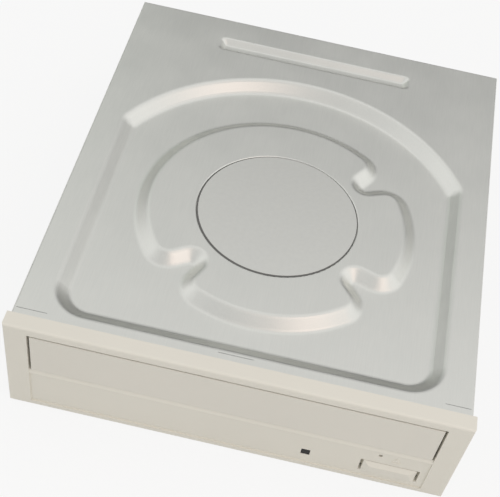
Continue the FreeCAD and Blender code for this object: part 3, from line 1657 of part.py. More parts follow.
# Guide rods and the blocks that hold their ends
rod_length = d.rod_rear - d.rod_front
piece(
    group([
        rod((side * d.rod_x, front + d.rod_front, d.rod_height), d.rod_radius, rod_length, "y")
        for side in (-1, 1)
    ]),
    "guide_rods",
    lowered,
)
rod_blocks = []
for side in (-1, 1):
    for setback in (d.rod_front - d.rod_block_lap, d.rod_rear + d.rod_block_lap - d.rod_block_length):
        rod_blocks.append(cut(
            box(
                (side * d.rod_x - d.rod_block_half, front + setback, plate_high),
                (side * d.rod_x + d.rod_block_half, front + setback + d.rod_block_length,
                 d.rod_height + d.rod_cover),
            ),
            [rod((side * d.rod_x, front + d.rod_front, d.rod_height),
                 d.rod_radius + d.rod_fit / 5, rod_length, "y")],
        ))
piece(group(rod_blocks), "rod_blocks", lowered)

# Sled motor, lead screw and its rear bearing block
screw_front = d.rod_front - d.screw_lead
screw_rear = d.rod_rear - d.screw_short
motor_front = screw_front - d.sled_motor_length
piece(
    group([
        cut(
            fuse([
                rod((d.screw_x, front + motor_front, d.screw_height),
                    d.sled_motor_radius, screw_front - motor_front, "y"),
                box(
                    (d.screw_x - d.motor_foot_half, front + motor_front + d.motor_foot_inset, plate_high),
                    (d.screw_x + d.motor_foot_half, front + screw_front, d.screw_height),
                ),
            ]),
            [rod((d.screw_x, front + screw_front - d.motor_bore_depth, d.screw_height),
                 d.screw_radius + d.screw_fit, 1.5 * d.motor_bore_depth, "y")],
        )
    ]),
    "sled_motor",
    lowered,
)
piece(
    group([
        rod((d.screw_x, front + screw_front - d.screw_seat, d.screw_height),
            d.screw_radius, screw_rear - screw_front + d.screw_seat, "y")
    ]),
    "lead_screw",
    lowered,
)
bearing_bore = 1.4 * d.bearing_lap
bearing_back = front + screw_rear + d.bearing_end - d.bearing_end_gap
piece(
    cut(
        box(
            (d.screw_x - d.bearing_half, front + screw_rear - d.bearing_lap, plate_high),
            (d.screw_x + d.bearing_half, front + screw_rear + d.bearing_end,
             d.screw_height + d.bearing_cover),
        ),
        [rod((d.screw_x, bearing_back - bearing_bore, d.screw_height),
             d.screw_radius + d.screw_fit / 2, bearing_bore, "y")],
    ),
    "screw_bearing",
    lowered,
)

# Optical pickup: cast sled on the two rods, with its lens actuator
lens_y = spindle_y + d.lens_rest
sled_front = lens_y - d.pickup_ahead
sled_rear = lens_y + d.pickup_behind
well_half = d.rod_x - d.well_margin
sled_parts = [
    box(
        (-pickup_half, sled_front, plate_high + d.sled_clear),
        (pickup_half, sled_rear, d.rod_height + d.rod_cover),
    ),
    box((-well_half, sled_front, d.pickup_low), (well_half, sled_rear, d.pickup_top - d.sled_step)),
    box(
        (-well_half + d.hump_inset, lens_y + d.hump_setback, d.pickup_top - d.hump_height),
        (well_half - d.hump_inset, sled_rear, d.pickup_top),
    ),
]
sled_cuts = [
    rod((side * d.rod_x, sled_front - 1.0, d.rod_height), d.rod_radius + d.rod_fit,
        d.pickup_ahead + d.pickup_behind + 2.0, "y")
    for side in (-1, 1)
]
room_half = d.actuator_half + d.actuator_gap
room_low = d.pickup_top - d.actuator_depth - d.actuator_floor_gap
sled_cuts.append(box(
    (-room_half, lens_y - d.actuator_ahead - d.actuator_gap, room_low),
    (room_half, lens_y + d.actuator_behind + d.actuator_gap, d.pickup_top + d.actuator_depth),
))
piece(cut(fuse(sled_parts), sled_cuts), "pickup_sled", lowered)
nut_front = lens_y - d.nut_ahead
piece(
    cut(
        box(
            (pickup_half, nut_front, plate_high + d.nut_clear),
            (d.screw_x + d.nut_half, nut_front + d.nut_length, d.screw_height + d.nut_cover),
        ),
        [rod((d.screw_x, nut_front - d.nut_clear, d.screw_height),
             d.screw_radius + d.screw_fit, d.nut_length + 2.0 * d.nut_clear, "y")],
    ),
    "sled_nut",
    lowered,
)
holder_top = d.lens_top - d.lens_crown
piece(
    cut(
        box(
            (-d.actuator_half, lens_y - d.actuator_ahead, d.pickup_top - d.actuator_depth),
            (d.actuator_half, lens_y + d.actuator_behind, holder_top),
        ),
        [
            rod((0, lens_y, room_low), d.lens_radius - d.lens_ledge, 2.0 * d.actuator_depth),
            rod((0, lens_y, holder_top - d.lens_seat), d.lens_radius + d.lens_fit, 2.0 * d.actuator_depth),
        ],
    ),
    "lens_holder",
    lowered,
)
lens = turned_body([
    (0, 0),
    (d.lens_radius, 0),
    (d.lens_radius, d.lens_seat),
    (d.lens_radius * 0.7, d.lens_shoulder),
    (0, d.lens_top - holder_top + d.lens_seat),
])
piece(lens, "objective_lens", lowered_at(0, lens_y, holder_top - d.lens_seat))

# Clamper above the disc: bridge, floating puck, magnet and yoke
bridge_high = d.bridge_low + d.bridge_thickness
bridge = body("clamp_bridge_body")
strip = sketch(bridge, "XY_Plane", d.bridge_low)
rectangle(strip, (-frame_half, bridge_front), (frame_half, bridge_front + d.bridge_length))
circle(strip, (0, spindle_y), d.clamper_hub + d.clamper_gap)
pad(bridge, strip, d.bridge_thickness)
piece(bridge, "clamp_bridge")
puck_floor = d.clamper_low + d.puck_floor_thickness
flange_low = bridge_high + d.flange_gap
magnet_wall = d.magnet_radius + d.magnet_fit
magnet_top = flange_low + d.magnet_rise
puck = turned_body([
    (0, d.clamper_low),
    (d.clamper_hub - d.puck_chamfer, d.clamper_low),
    (d.clamper_hub, d.clamper_low + d.puck_chamfer),
    (d.clamper_hub, flange_low),
    (d.clamper_radius, flange_low),
    (d.clamper_radius, flange_low + d.flange_thickness),
    (d.magnet_radius + d.puck_wall, flange_low + d.puck_rim),
    (magnet_wall, flange_low + d.puck_rim),
    (magnet_wall, puck_floor),
    (0, puck_floor),
])
place(puck, (0, spindle_y, 0))
piece(puck, "clamper")
magnet = turned_body([
    (d.magnet_bore, puck_floor),
    (d.magnet_radius, puck_floor),
    (d.magnet_radius, magnet_top),
    (d.magnet_bore, magnet_top),
])
place(magnet, (0, spindle_y, 0))
piece(magnet, "clamp_magnet")
piece(rod((0, spindle_y, magnet_top), d.magnet_radius, 0.8 * d.bridge_thickness), "clamp_yoke")

# Circuit boards
board_rear = front + d.main_board_rear
board_half = d.main_board_width / 2
main_board = body("main_board_body")
board_blank = sketch(main_board, "XY_Plane", d.board_low)
rectangle(board_blank, (-board_half, front + d.main_board_front), (board_half, board_rear))
board_screw_spots = [(side * post_x, front + setback) for setback in post_setbacks for side in (-1, 1)]
for side in (-1, 1):
    circle(board_blank, (side * d.bottom_screw_x, front + d.bottom_screw_rear), d.dimple_radius)
pad(main_board, board_blank, d.board_thickness)
board_holes = sketch(main_board, "XY_Plane", board_top)
for x, y in board_screw_spots:
    circle(board_holes, (x, y), d.screw_shank * 0.95 + d.screw_hole_fit)
pocket(main_board, board_holes, 2.0 * d.board_thickness)
piece(main_board, "main_board")
piece(
    group([
        fuse([
            rod((x, y, d.board_low - 0.8 * d.screw_shank), 0.9 * d.screw_head, 0.8 * d.screw_shank),
            rod((x, y, d.board_low - 0.4 * d.screw_shank), 0.95 * d.screw_shank, 5.0 * d.screw_shank),
        ])
        for x, y in board_screw_spots
    ]),
    "board_screws",
)
chip_rows = (
    (-22.0, 30.0, 20.0, 20.0, 1.4),
    (14.0, 34.0, 12.0, 12.0, 1.2),
    (34.0, 16.0, 16.0, 10.0, 1.2),
    (-46.0, 20.0, 14.0, 8.0, 1.2),
)
chips_front = front + d.main_board_front
piece(
    group([
        box(
            (x - width / 2, chips_front + setback - depth / 2, board_top),
            (x + width / 2, chips_front + setback + depth / 2, board_top + tall),
        )
        for x, setback, width, depth, tall in chip_rows
    ]),
    "board_chips",
)
front_board_rear = front + d.deck_rear - d.front_board_gap
piece(
    box(
        (motor_x - d.front_board_left, front + d.front_board_setback, d.board_low),
        (d.button_centre + d.front_board_right, front_board_rear, board_top),
    ),
    "front_board",
)
piece(
    fuse([
        box(
            (d.button_centre - d.switch_left, switch_front + d.switch_face, board_top),
            (d.button_centre + d.switch_right, switch_rear, stem_middle + d.switch_rise),
        ),
        rod((d.button_centre - d.plunger_offset, switch_front, stem_middle),
            d.flange_lap, d.plunger_length, "y"),
    ]),
    "eject_switch",
)
piece(
    box(
        (d.lamp_centre - d.diode_half, front + lamp_rear + d.diode_gap, board_top),
        (d.lamp_centre + d.diode_half, front + lamp_rear + d.diode_gap + d.diode_length,
         d.lamp_height + d.diode_half),
    ),
    "status_lamp",
)

# Flat cable between the two boards and the connectors that take its ends
ribbon_low = d.board_low - d.ribbon_drop
front_socket = front_board_rear - d.ribbon_socket_inset
rear_socket = front + d.main_board_front + d.ribbon_socket_inset
ribbon_spots = (
    (front_socket - d.ribbon_socket_length, front_socket),
    (rear_socket, rear_socket + d.ribbon_socket_length),
)
ribbon_x = motor_x
piece(
    group([
        box(
            (ribbon_x - d.ribbon_socket_half, start, ribbon_low - d.ribbon_thickness),
            (ribbon_x + d.ribbon_socket_half, end, d.board_low),
        )
        for start, end in ribbon_spots
    ]),
    "ribbon_connectors",
)
piece(
    box(
        (ribbon_x - d.ribbon_half, front_socket, ribbon_low),
        (ribbon_x + d.ribbon_half, rear_socket, ribbon_low + d.ribbon_thickness),
    ),
    "board_ribbon",
)

# Rear connectors
plug_rear = rear


def shell(middle, length, height, depth):
    """A connector shell with its socket open to the rear."""
    block = box(
        (middle - length / 2, plug_rear - depth, board_top),
        (middle + length / 2, plug_rear, board_top + height),
    )
    socket = box(
        (middle - length / 2 + d.shell_wall, plug_rear - d.socket_depth, board_top + d.shell_wall),
        (middle + length / 2 - d.shell_wall, plug_rear + 1.0, board_top + height - d.shell_wall),
    )
    return block, socket


data_block, data_socket = shell(d.data_centre, d.data_length, d.data_height, d.data_depth)
key_slot = box(
    (d.data_centre - d.key_half, plug_rear - d.socket_depth, board_top + d.data_height - 2.0 * d.shell_wall),
    (d.data_centre + d.key_half, plug_rear + 1.0, board_top + d.data_height + 1.0),
)
piece(cut(data_block, [data_socket, key_slot]), "data_connector")
data_columns = 20
key_column = data_columns // 2
pin_rows = []
data_middle = board_top + d.data_height / 2
for row in (-0.5, 0.5):
    for column in range(data_columns):
        if row > 0 and column == key_column:
            continue
        x = d.data_centre + (column - (data_columns - 1) / 2) * d.pin_pitch
        z = data_middle + row * d.pin_pitch
        pin_rows.append(box(
            (x - d.pin_size / 2, plug_rear - d.socket_depth, z - d.pin_size / 2),
            (x + d.pin_size / 2, plug_rear - d.pin_setback, z + d.pin_size / 2),
        ))
piece(group(pin_rows), "data_pins")
power_block, power_socket = shell(d.power_centre, d.power_length, d.power_height, d.data_depth)
piece(cut(power_block, [power_socket]), "power_connector")
piece(
    group([
        rod(
            (d.power_centre + (column - 1.5) * d.power_pitch,
             plug_rear - d.socket_depth, board_top + d.power_height / 2),
            d.power_pin_radius,
            d.socket_depth - d.power_pin_setback,
            "y",
        )
        for column in range(4)
    ]),
    "power_pins",
)
jumper_block, jumper_socket = shell(jumper_middle, jumper_length, 0.7 * d.data_height, 0.9 * d.data_depth)
piece(cut(jumper_block, [jumper_socket]), "jumper_connector")
audio_block, audio_socket = shell(audio_middle, audio_length, 0.7 * d.data_height, 0.9 * d.data_depth)
piece(cut(audio_block, [audio_socket]), "audio_connector")
small_pins = []
small_middle = board_top + 0.35 * d.data_height
for middle, columns, rows in ((jumper_middle, 3, (-0.5, 0.5)), (audio_middle, 4, (0.0,))):
    for row in rows:
        for column in range(columns):
            x = middle + (column - (columns - 1) / 2) * d.pin_pitch
            z = small_middle + row * 0.8 * d.pin_pitch
            small_pins.append(box(
                (x - d.pin_size / 2, plug_rear - d.socket_depth, z - d.pin_size / 2),
                (x + d.pin_size / 2, plug_rear - d.header_pin_setback, z + d.pin_size / 2),
            ))
piece(group(small_pins), "header_pins")

doc.recompute()
for feature in doc.Objects:
    if "Invalid" in feature.State or "Error" in feature.State:
        raise RuntimeError(f"{feature.Label} could not be built: {feature.State}")
for feature in pieces:
    if feature.Shape.isNull() or not feature.Shape.isValid():
        raise RuntimeError(f"{feature.Label} is not a valid solid")

os.makedirs("parts", exist_ok=True)
for feature in pieces:
    feature.Shape.exportStep(f"parts/{feature.Label}.step")
    print(feature.Label, len(feature.Shape.Solids), round(feature.Shape.Volume, 1))
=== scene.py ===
# %% [markdown]
# # Dressing a half-height optical disc drive
# The solids come from the CAD model, one object for each real piece, in metres and already in place.
# This lesson gives every piece the finish of its real material, models the label and the eject sign,
# which only the eye needs, and sets up a camera and a soft studio.

# %% Load the frame
import math

import bpy
from mathutils import Euler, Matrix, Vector


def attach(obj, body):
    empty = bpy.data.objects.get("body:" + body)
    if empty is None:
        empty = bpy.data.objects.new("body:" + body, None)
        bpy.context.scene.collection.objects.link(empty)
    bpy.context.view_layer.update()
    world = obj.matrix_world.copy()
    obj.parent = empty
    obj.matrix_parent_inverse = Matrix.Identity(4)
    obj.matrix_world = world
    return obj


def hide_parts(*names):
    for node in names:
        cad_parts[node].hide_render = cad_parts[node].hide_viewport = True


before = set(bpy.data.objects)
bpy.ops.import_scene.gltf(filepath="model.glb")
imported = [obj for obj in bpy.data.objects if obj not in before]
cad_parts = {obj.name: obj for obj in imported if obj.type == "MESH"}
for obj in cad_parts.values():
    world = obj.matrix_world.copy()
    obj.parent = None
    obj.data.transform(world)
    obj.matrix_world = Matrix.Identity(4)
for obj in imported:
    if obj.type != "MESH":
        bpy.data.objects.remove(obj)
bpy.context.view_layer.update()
scene = bpy.context.scene
scene.view_settings.view_transform = "Standard"
MM = 0.001
print("pieces from the CAD model:", len(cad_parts))

# %% [markdown]
# ## Camera
# The drive was seen from above its front left corner with a fairly long lens. The place and the three
# angles were found by matching the corners of the case and bezel, whose sizes are known. The small
# upward shift keeps the case in the frame as the photograph crops it.

# %% Camera
camera_data = bpy.data.cameras.new("camera")
camera_data.lens = 76.41
camera_data.sensor_width = 36.0
camera_data.shift_y = 0.12
camera_data.clip_start = 0.01
camera = bpy.data.objects.new("camera", camera_data)
scene.collection.objects.link(camera)
camera.location = Vector((7.8, -268.85, 307.1)) * MM
camera.rotation_euler = Euler([math.radians(angle) for angle in (38.007, -6.66, 10.928)])
scene.camera = camera
print("camera height in mm:", round(camera.location.z / MM, 1))

# %% [markdown]
# ## Helpers for finishes
# Colours are written as sRGB hex values, as a colour picker shows them, and Blender's sockets want
# linear light, so one function converts them. One more adds a node, sets its options and fills its
# inputs with either plain values or links from earlier nodes. The rest are the few moves that every
# finish here repeats: a noise of a size in millimetres, two tones mixed by it, and a shallow relief.

# %% Helpers for finishes
def linear(hex_colour, alpha=1.0):
    """An sRGB hex colour as linear red, green, blue and alpha."""
    parts = [int(hex_colour[i:i + 2], 16) / 255 for i in (1, 3, 5)]
    made = [c / 12.92 if c <= 0.04045 else ((c + 0.055) / 1.055) ** 2.4 for c in parts]
    return (*made, alpha)


def add(tree, kind, inputs=None, **settings):
    """One new node with its settings, and with each input set to a value or linked to a socket."""
    made = tree.nodes.new(kind)
    for name, value in settings.items():
        setattr(made, name, value)
    for name, value in (inputs or {}).items():
        if isinstance(value, bpy.types.NodeSocket):
            tree.links.new(value, made.inputs[name])
        else:
            made.inputs[name].default_value = value
    return made


def start_material(name, **sockets):
    """A new material, its node tree, its shader and its Object coordinates."""
    material = bpy.data.materials.new(name)
    material.use_nodes = True
    tree = material.node_tree
    shader = tree.nodes["Principled BSDF"]
    for socket, value in sockets.items():
        shader.inputs[socket.replace("_", " ")].default_value = value
    place = add(tree, "ShaderNodeTexCoord").outputs["Object"]
    return material, tree, shader, place


def noise(tree, place, size, detail):
    """A noise whose grain is about that many millimetres wide."""
    per_metre = 1.0 / (size * MM)
    pattern = add(tree, "ShaderNodeTexNoise", {"Vector": place, "Scale": per_metre, "Detail": detail})
    return pattern.outputs["Fac"]


def reckon(tree, operation, first, second):
    """The result of one sum, product or comparison of two values."""
    return add(tree, "ShaderNodeMath", {0: first, 1: second}, operation=operation).outputs[0]


def two_tones(tree, shader, share, dark, light):
    """Give the shader a base colour between two sRGB tones."""
    ends = {"Factor": share, "A": linear(dark), "B": linear(light)}
    tone = add(tree, "ShaderNodeMix", ends, data_type="RGBA")
    tree.links.new(tone.outputs["Result"], shader.inputs["Base Color"])


def relief(tree, shader, height, strength, depth):
    """Give the shader a bump of a pattern, so many millimetres deep."""
    bump = add(tree, "ShaderNodeBump", {"Height": height, "Strength": strength, "Distance": depth * MM})
    tree.links.new(bump.outputs["Normal"], shader.inputs["Normal"])


def fade(tree, value, start, end, first, last):
    """A value that goes from the first level at the start to the last level at the end."""
    levels = {"Value": value, "From Min": start, "From Max": end, "To Min": first, "To Max": last}
    return add(tree, "ShaderNodeMapRange", levels).outputs["Result"]


print("mid grey in linear light:", [round(c, 3) for c in linear("#808080")[:3]])

# %% [markdown]
# ## Galvanised steel
# The case is pressed from zinc-coated steel sheet. Zinc gives a soft satin grey with a very fine rolled
# grain along the sheet and a slow cloudiness where the coating is thicker. A stretched noise makes the
# grain, a broad noise makes the clouds, and both move the roughness a little. The real grain is near
# 0.05 mm, too fine for the render, so it is drawn at 0.4 mm.

# %% Galvanised steel
GRAIN_WIDTH = 0.4
CLOUD_WIDTH = 18.0
ROUGHNESS_SWING = 0.04


def galvanised_steel(name, dark, light, roughness):
    """Zinc-coated sheet between two greys, with a rolled grain along Y."""
    material, tree, shader, place = start_material(name, Metallic=1.0)
    along = add(tree, "ShaderNodeMapping", {"Vector": place, "Scale": (1.0, 0.05, 1.0)})
    grain = noise(tree, along.outputs[0], GRAIN_WIDTH, detail=4.0)
    clouds = noise(tree, place, CLOUD_WIDTH, detail=3.0)
    coating = reckon(tree, "MULTIPLY", reckon(tree, "ADD", grain, clouds), 0.5)
    two_tones(tree, shader, coating, dark, light)
    rough = fade(tree, coating, 0.3, 0.7, roughness - ROUGHNESS_SWING, roughness + ROUGHNESS_SWING)
    tree.links.new(rough, shader.inputs["Roughness"])
    relief(tree, shader, grain, strength=0.04, depth=0.02)
    return material


case_steel = galvanised_steel("galvanised_steel", "#d9dad5", "#ecece7", 0.42)
bright_steel = galvanised_steel("plain_steel", "#b4b5b7", "#c8c9cb", 0.3)
motor_can = galvanised_steel("plated_motor_can", "#a9abad", "#bdbfc1", 0.26)
print("steels:", case_steel.name, bright_steel.name, motor_can.name)

# %% [markdown]
# ## Moulded plastics
# The bezel is ivory ABS from a lightly sparked mould: an even matt surface with a grain of about
# 0.15 mm, drawn at 0.3 mm so that it shows. The hidden frame is the same plastic in charcoal. A broad
# noise keeps a large face from looking painted.

# %% Moulded plastics
BLOOM_WIDTH = 25.0


def moulded_plastic(name, base, shade, roughness, grain=0.3, depth=0.01, gloss=0.5):
    """Moulded plastic of two close tones with a sparked-mould grain in millimetres."""
    material, tree, shader, place = start_material(
        name, Roughness=roughness, IOR=1.54, Specular_IOR_Level=gloss,
    )
    two_tones(tree, shader, noise(tree, place, BLOOM_WIDTH, detail=2.0), base, shade)
    relief(tree, shader, noise(tree, place, grain, detail=2.0), strength=0.15, depth=depth)
    return material


ivory_bezel = moulded_plastic("ivory_abs", "#e7e4d9", "#e3e0d5", 0.5)
ivory_door = moulded_plastic("ivory_abs_door", "#e3e0d6", "#dfdcd2", 0.5)
ivory_tray = moulded_plastic("ivory_abs_tray", "#dfdcd1", "#dbd8cd", 0.5)
charcoal_frame = moulded_plastic("charcoal_abs", "#26272a", "#1f2022", 0.5)
acetal = moulded_plastic("natural_acetal", "#e6e4da", "#dfddd2", 0.38, grain=0.5)
black_housing = moulded_plastic("black_polyester", "#1d1d1f", "#171719", 0.45)
white_housing = moulded_plastic("natural_nylon", "#e3dfd2", "#dcd8ca", 0.4)
chip_epoxy = moulded_plastic("moulded_epoxy", "#18181a", "#141416", 0.6, grain=0.2)
black_rubber = moulded_plastic("black_rubber", "#17171a", "#121214", 0.8, grain=0.25)
print("plastics ready")

# %% [markdown]
# ## Small materials
# The rest shows mostly when the tray is out or from behind: smoked acrylic over the lamp, solder mask,
# gold-flashed pins, die-cast alloy, ferrite, wound copper, glass and the film of the flat cable.

# %% Small materials
def plain_metal(name, dark, light, roughness, size):
    """A metal with a mottled surface of a grain size in millimetres."""
    material, tree, shader, place = start_material(name, Metallic=1.0, Roughness=roughness)
    mottle = noise(tree, place, size, detail=3.0)
    two_tones(tree, shader, mottle, dark, light)
    relief(tree, shader, mottle, strength=0.1, depth=0.02)
    return material


foil = plain_metal("satin_aluminium_foil", "#dfdfda", "#e6e6e1", 0.4, 1.5)
die_cast = plain_metal("die_cast_alloy", "#9b9ca0", "#b0b1b5", 0.5, 0.8)
gold_pins = plain_metal("gold_flash", "#c9a648", "#d9b95c", 0.25, 0.5)
ferrite = moulded_plastic("sintered_ferrite", "#47484b", "#3b3c3f", 0.55, grain=0.4)
solder_mask = moulded_plastic("green_solder_mask", "#0f5a2e", "#0c4c27", 0.35, grain=0.6)
ribbon_film = moulded_plastic("polyester_film", "#dfe0dd", "#d6d7d4", 0.3, grain=0.8)
smoked_acrylic = moulded_plastic(
    "smoked_acrylic", "#0a090a", "#0f0e0f", 0.25, grain=2.0, depth=0.002, gloss=0.2,
)
# The dark grey of the adhesive layer is painted shade: it stands for the shadow in the gap beside the
# label's foil.
adhesive_painted_shade = moulded_plastic("adhesive_painted_shade", "#6c6c6a", "#646462", 0.6, grain=0.4)
copper_winding = plain_metal("enamelled_copper", "#8f4a25", "#b8683a", 0.35, 0.4)
coated_glass = start_material(
    "coated_glass", Roughness=0.03, IOR=1.6, Base_Color=linear("#8fa6d8"), Transmission_Weight=1.0,
)[0]
print("small materials ready")

# %% [markdown]
# ## Finishes on the CAD pieces
# A piece whose CAD shape is already right keeps it and only changes its material. Each piece is named
# once here, under the material that the real one is made of.

# %% Finishes on the CAD pieces
FINISHES = {
    case_steel: ("top_cover", "bottom_cover", "clamp_bridge"),
    foil: ("label_plate",),
    bright_steel: (
        "bottom_screws", "traverse_plate", "damper_screws", "spindle_base", "guide_rods", "lead_screw",
        "clamp_yoke", "board_screws",
    ),
    motor_can: ("loading_motor", "rotor_cup", "sled_motor"),
    ivory_bezel: ("front_bezel", "eject_button"),
    ivory_door: ("tray_door",),
    ivory_tray: ("disc_tray",),
    charcoal_frame: ("main_frame", "traverse_holder", "turntable", "rod_blocks", "lens_holder", "clamper"),
    acetal: (
        "tray_gear", "pulley_gear", "motor_pulley", "cam_slider", "screw_bearing", "sled_nut", "status_lamp",
    ),
    black_rubber: ("drive_belt", "rubber_dampers", "turntable_pad"),
    black_housing: ("data_connector", "jumper_connector", "audio_connector", "eject_switch"),
    white_housing: ("power_connector", "ribbon_connectors"),
    chip_epoxy: ("board_chips",),
    solder_mask: ("main_board", "front_board"),
    gold_pins: ("data_pins", "power_pins", "header_pins"),
    die_cast: ("pickup_sled",),
    ferrite: ("hub_magnet", "clamp_magnet"),
    copper_winding: ("stator_core",),
    coated_glass: ("objective_lens",),
    ribbon_film: ("board_ribbon",),
    smoked_acrylic: ("lamp_window",),
}
for material, names in FINISHES.items():
    for name in names:
        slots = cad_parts[name].data.materials
        slots.clear()
        slots.append(material)
dressed = {name for names in FINISHES.values() for name in names}
print("pieces without a finish:", sorted(set(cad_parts) - dressed))

# %% [markdown]
# ## Round label
# The blank label is a disc of foil on a layer of adhesive, laid by hand into the coined step of the cover.
# It
# never sits quite in the middle: toward the front a little of the lower layer shows beside the foil, and
# toward the rear the rolled edge of the steel catches the light. That lower layer is coloured dark grey as
# painted shade, and it stands for the shadow in the gap beside the foil. A flat colour could not give that
# thin dark line, so the two layers are modelled. A cylinder of many sides is the start of each, and its
# sharp rims are bevelled. The piece stands for the plain disc of the CAD model.

# %% Round label
LABEL_CENTRE = Vector((0.0, -13.85, 40.25)) * MM
ADHESIVE_SHADE_RADIUS = 28.12 * MM
ADHESIVE_SHADE_HEIGHT = 0.35 * MM
FOIL_RADIUS = 27.75 * MM
FOIL_HEIGHT = 0.1 * MM
FOIL_SHIFT = Vector((0.1, 0.28, 0.0)) * MM
ADHESIVE_SHADE_RIM = 0.05 * MM
FOIL_RIM = 0.03 * MM
LABEL_SIDES = 180


def label_layer(radius, height, foot, rim, material):
    """A thin round layer on a foot point, with its sharp rims bevelled."""
    bpy.ops.object.select_all(action="DESELECT")
    middle = foot + Vector((0.0, 0.0, height / 2))
    bpy.ops.mesh.primitive_cylinder_add(vertices=LABEL_SIDES, radius=radius, depth=height, location=middle)
    layer = bpy.context.object
    bpy.ops.object.mode_set(mode="EDIT")
    bpy.ops.mesh.select_mode(type="EDGE")
    bpy.ops.mesh.select_all(action="DESELECT")
    bpy.ops.mesh.edges_select_sharp(sharpness=math.radians(60.0))
    bpy.ops.mesh.bevel(offset=rim, segments=2, affect="EDGES")
    bpy.ops.object.mode_set(mode="OBJECT")
    bpy.ops.object.shade_smooth_by_angle(angle=math.radians(20.0))
    layer.data.materials.append(material)
    return layer


# The lower layer shows as a thin dark ring beside the foil, which is painted shade for the gap.
adhesive_shade_layer = label_layer(ADHESIVE_SHADE_RADIUS, ADHESIVE_SHADE_HEIGHT, LABEL_CENTRE, ADHESIVE_SHADE_RIM, adhesive_painted_shade)
foil_foot = LABEL_CENTRE + FOIL_SHIFT + Vector((0.0, 0.0, ADHESIVE_SHADE_HEIGHT))
label = label_layer(FOIL_RADIUS, FOIL_HEIGHT, foil_foot, FOIL_RIM, foil)
adhesive_shade_layer.select_set(True)
bpy.context.view_layer.objects.active = label
bpy.ops.object.join()
bpy.ops.object.transform_apply(location=True, rotation=True, scale=True)
label.name = "round_label"
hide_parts("label_plate")
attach(label, "chassis")
print("label layers:", [material.name for material in label.data.materials])

# %% [markdown]
# ## Eject sign
# Over the button the bezel carries the usual eject sign, a triangle over a bar, moulded as a low step in
# the same plastic. It could be painted as a colour, but on the real bezel only its edges catch the light,
# so it needs a little height. A circle of three points is a triangle already and a plane gives the bar.
# Each is pushed out from the face, its outer rim is bevelled so that light finds it, and the two are
# joined into one piece.

# %% Eject sign
SIGN_PLACE = Vector((55.4, -84.75, 14.9)) * MM
SIGN_WIDTH = 2.4 * MM
SIGN_RISE = 0.22 * MM
SIGN_RIM = SIGN_RISE / 3
SIGN_ROOT = 0.05 * MM
TRIANGLE_RADIUS = SIGN_WIDTH / math.sqrt(3.0)
TRIANGLE_SQUASH = 0.8
BAR_HEIGHT = 0.55 * MM
BAR_GAP = 0.45 * MM
FACING_FRONT = (math.radians(90.0), 0.0, 0.0)


def raise_sign(height_share):
    """Squash the new flat shape, push it out toward the front and round its outer rim."""
    bpy.ops.object.mode_set(mode="EDIT")
    bpy.ops.mesh.select_all(action="SELECT")
    bpy.ops.transform.resize(value=(1.0, 1.0, height_share))
    out = {"value": (0.0, -SIGN_RISE - SIGN_ROOT, 0.0)}
    bpy.ops.mesh.extrude_region_move(TRANSFORM_OT_translate=out)
    bpy.ops.mesh.bevel(offset=SIGN_RIM, segments=2, affect="EDGES")
    bpy.ops.mesh.select_all(action="SELECT")
    bpy.ops.mesh.normals_make_consistent(inside=False)
    bpy.ops.object.mode_set(mode="OBJECT")
    return bpy.context.object


sign_foot = SIGN_PLACE + Vector((0.0, SIGN_ROOT, 0.0))
bpy.ops.object.select_all(action="DESELECT")
bpy.ops.mesh.primitive_circle_add(
    vertices=3, radius=TRIANGLE_RADIUS, fill_type="NGON", location=sign_foot, rotation=FACING_FRONT,
)
eject_sign = raise_sign(TRIANGLE_SQUASH)

bar_drop = TRIANGLE_SQUASH * TRIANGLE_RADIUS / 2 + BAR_GAP + BAR_HEIGHT / 2
bar_foot = sign_foot - Vector((0.0, 0.0, bar_drop))
bpy.ops.object.select_all(action="DESELECT")
bpy.ops.mesh.primitive_plane_add(size=SIGN_WIDTH, location=bar_foot, rotation=FACING_FRONT)
bar = raise_sign(BAR_HEIGHT / SIGN_WIDTH)

eject_sign.select_set(True)
bar.select_set(True)
bpy.context.view_layer.objects.active = eject_sign
bpy.ops.object.join()
bpy.ops.object.transform_apply(location=True, rotation=True, scale=True)
eject_sign.name = "eject_sign"
eject_sign.data.materials.append(ivory_bezel)
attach(eject_sign, "chassis")
print("eject sign faces:", len(eject_sign.data.polygons))

# %% [markdown]
# ## Floor
# The drive stands on a plain pale floor, a hair below its underside so that the two faces don't fight.
# Most of what the camera, a reflection or a clear piece sees of the floor is plain white at strength 1,
# and the rest is the lit floor, so the background is white and the shadow stays.

# %% Floor
FLOOR_WIDTH = 6.0
FLOOR_DROP = 0.05 * MM
WHITE_SHARE = 0.85
bpy.ops.object.select_all(action="DESELECT")
bpy.ops.mesh.primitive_plane_add(size=FLOOR_WIDTH, location=(0.0, 0.0, -FLOOR_DROP))
floor = bpy.context.object
floor.name = "floor"
pale_floor, tree, shader, place = start_material("pale_floor", Roughness=0.9, Base_Color=linear("#d6d6d4"))
path = add(tree, "ShaderNodeLightPath").outputs
seen = reckon(tree, "MAXIMUM", path["Is Camera Ray"], path["Is Glossy Ray"])
seen = reckon(tree, "MAXIMUM", seen, path["Is Transmission Ray"])
share = reckon(tree, "MULTIPLY", seen, WHITE_SHARE)
white = add(tree, "ShaderNodeEmission", {"Color": linear("#ffffff"), "Strength": 1.0})
mix = add(tree, "ShaderNodeMixShader", {0: share, 1: shader.outputs[0], 2: white.outputs[0]})
tree.links.new(mix.outputs[0], tree.nodes["Material Output"].inputs["Surface"])
floor.data.materials.append(pale_floor)
print("floor width in m:", FLOOR_WIDTH)

# %% [markdown]
# ## Sky
# Bare metal shows what surrounds it, so the sky matters more than any lamp. The flat cover mirrors the
# sky behind the drive, which darkens toward the rear horizon: the cover then darkens toward its rear, and
# so do the slopes that face away. The slopes that face the camera mirror the sky around it, which is a
# little dimmer too. Two dot products tell how far a direction leans each way, and two fades use them.

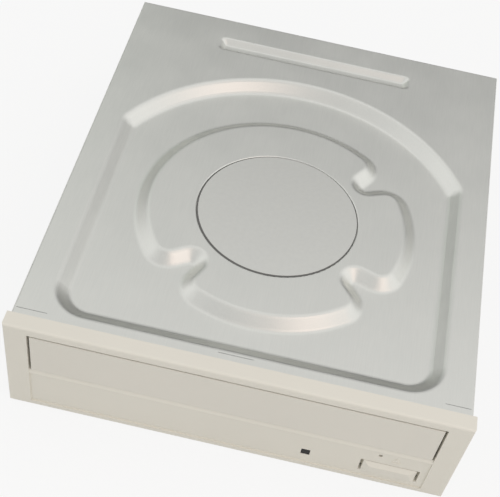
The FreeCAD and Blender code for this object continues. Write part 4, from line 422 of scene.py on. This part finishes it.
# %% Sky
REAR_HORIZON = Vector((-0.1, 0.92, -0.37))
CAMERA_SIDE = Vector((-0.05, -0.58, 0.81))
BRIGHT_SKY = 1.07
REAR_SKY = 0.17
CAMERA_SHARE = 0.64
world = bpy.data.worlds.new("studio")
scene.world = world
world.use_nodes = True
tree = world.node_tree
way = add(tree, "ShaderNodeTexCoord").outputs["Generated"]
lean_rear = add(tree, "ShaderNodeVectorMath", {0: way, 1: REAR_HORIZON}, operation="DOT_PRODUCT")
lean_camera = add(tree, "ShaderNodeVectorMath", {0: way, 1: CAMERA_SIDE}, operation="DOT_PRODUCT")
rear_fade = fade(tree, lean_rear.outputs["Value"], 0.18, 0.62, BRIGHT_SKY, REAR_SKY)
camera_fade = fade(tree, lean_camera.outputs["Value"], 0.35, 0.9, 1.0, CAMERA_SHARE)
sky = reckon(tree, "MULTIPLY", rear_fade, camera_fade)
background = tree.nodes["Background"]
background.inputs["Color"].default_value = linear("#ffffff")
tree.links.new(sky, background.inputs["Strength"])
print("sky from", REAR_SKY, "to", BRIGHT_SKY)

# %% [markdown]
# ## Lamps
# A warm window at the front right puts the soft pink glints on the pressed slopes, a faint cool one at the
# rear left lifts the right wall of the recess, and a fill over the camera lights the bezel. The fill is
# hidden from glossy rays, because a mirror image of it would spoil the steel.

# %% Lamps
DRIVE_MIDDLE = Vector((0.0, 0.0, 20.0)) * MM
BEZEL_MIDDLE = Vector((0.0, -60.0, 20.0)) * MM


def soft_lamp(name, place, aim, size, power, tint):
    """A square soft lamp, its place and size in millimetres, turned to a point."""
    data = bpy.data.lights.new(name, "AREA")
    data.size = size * MM
    data.energy = power
    data.color = linear(tint)[:3]
    lamp = bpy.data.objects.new(name, data)
    scene.collection.objects.link(lamp)
    lamp.location = Vector(place) * MM
    lamp.rotation_euler = (aim - lamp.location).to_track_quat("-Z", "Y").to_euler()
    return lamp


soft_lamp("right_window", (385.0, -360.0, 730.0), DRIVE_MIDDLE, size=400.0, power=0.55, tint="#ffe0d2")
soft_lamp("left_window", (-400.0, 560.0, 380.0), DRIVE_MIDDLE, size=350.0, power=0.11, tint="#f0fff2")
fill = soft_lamp("front_fill", (250.0, -420.0, 620.0), BEZEL_MIDDLE, size=500.0, power=0.4, tint="#ffeee4")
fill.visible_glossy = False
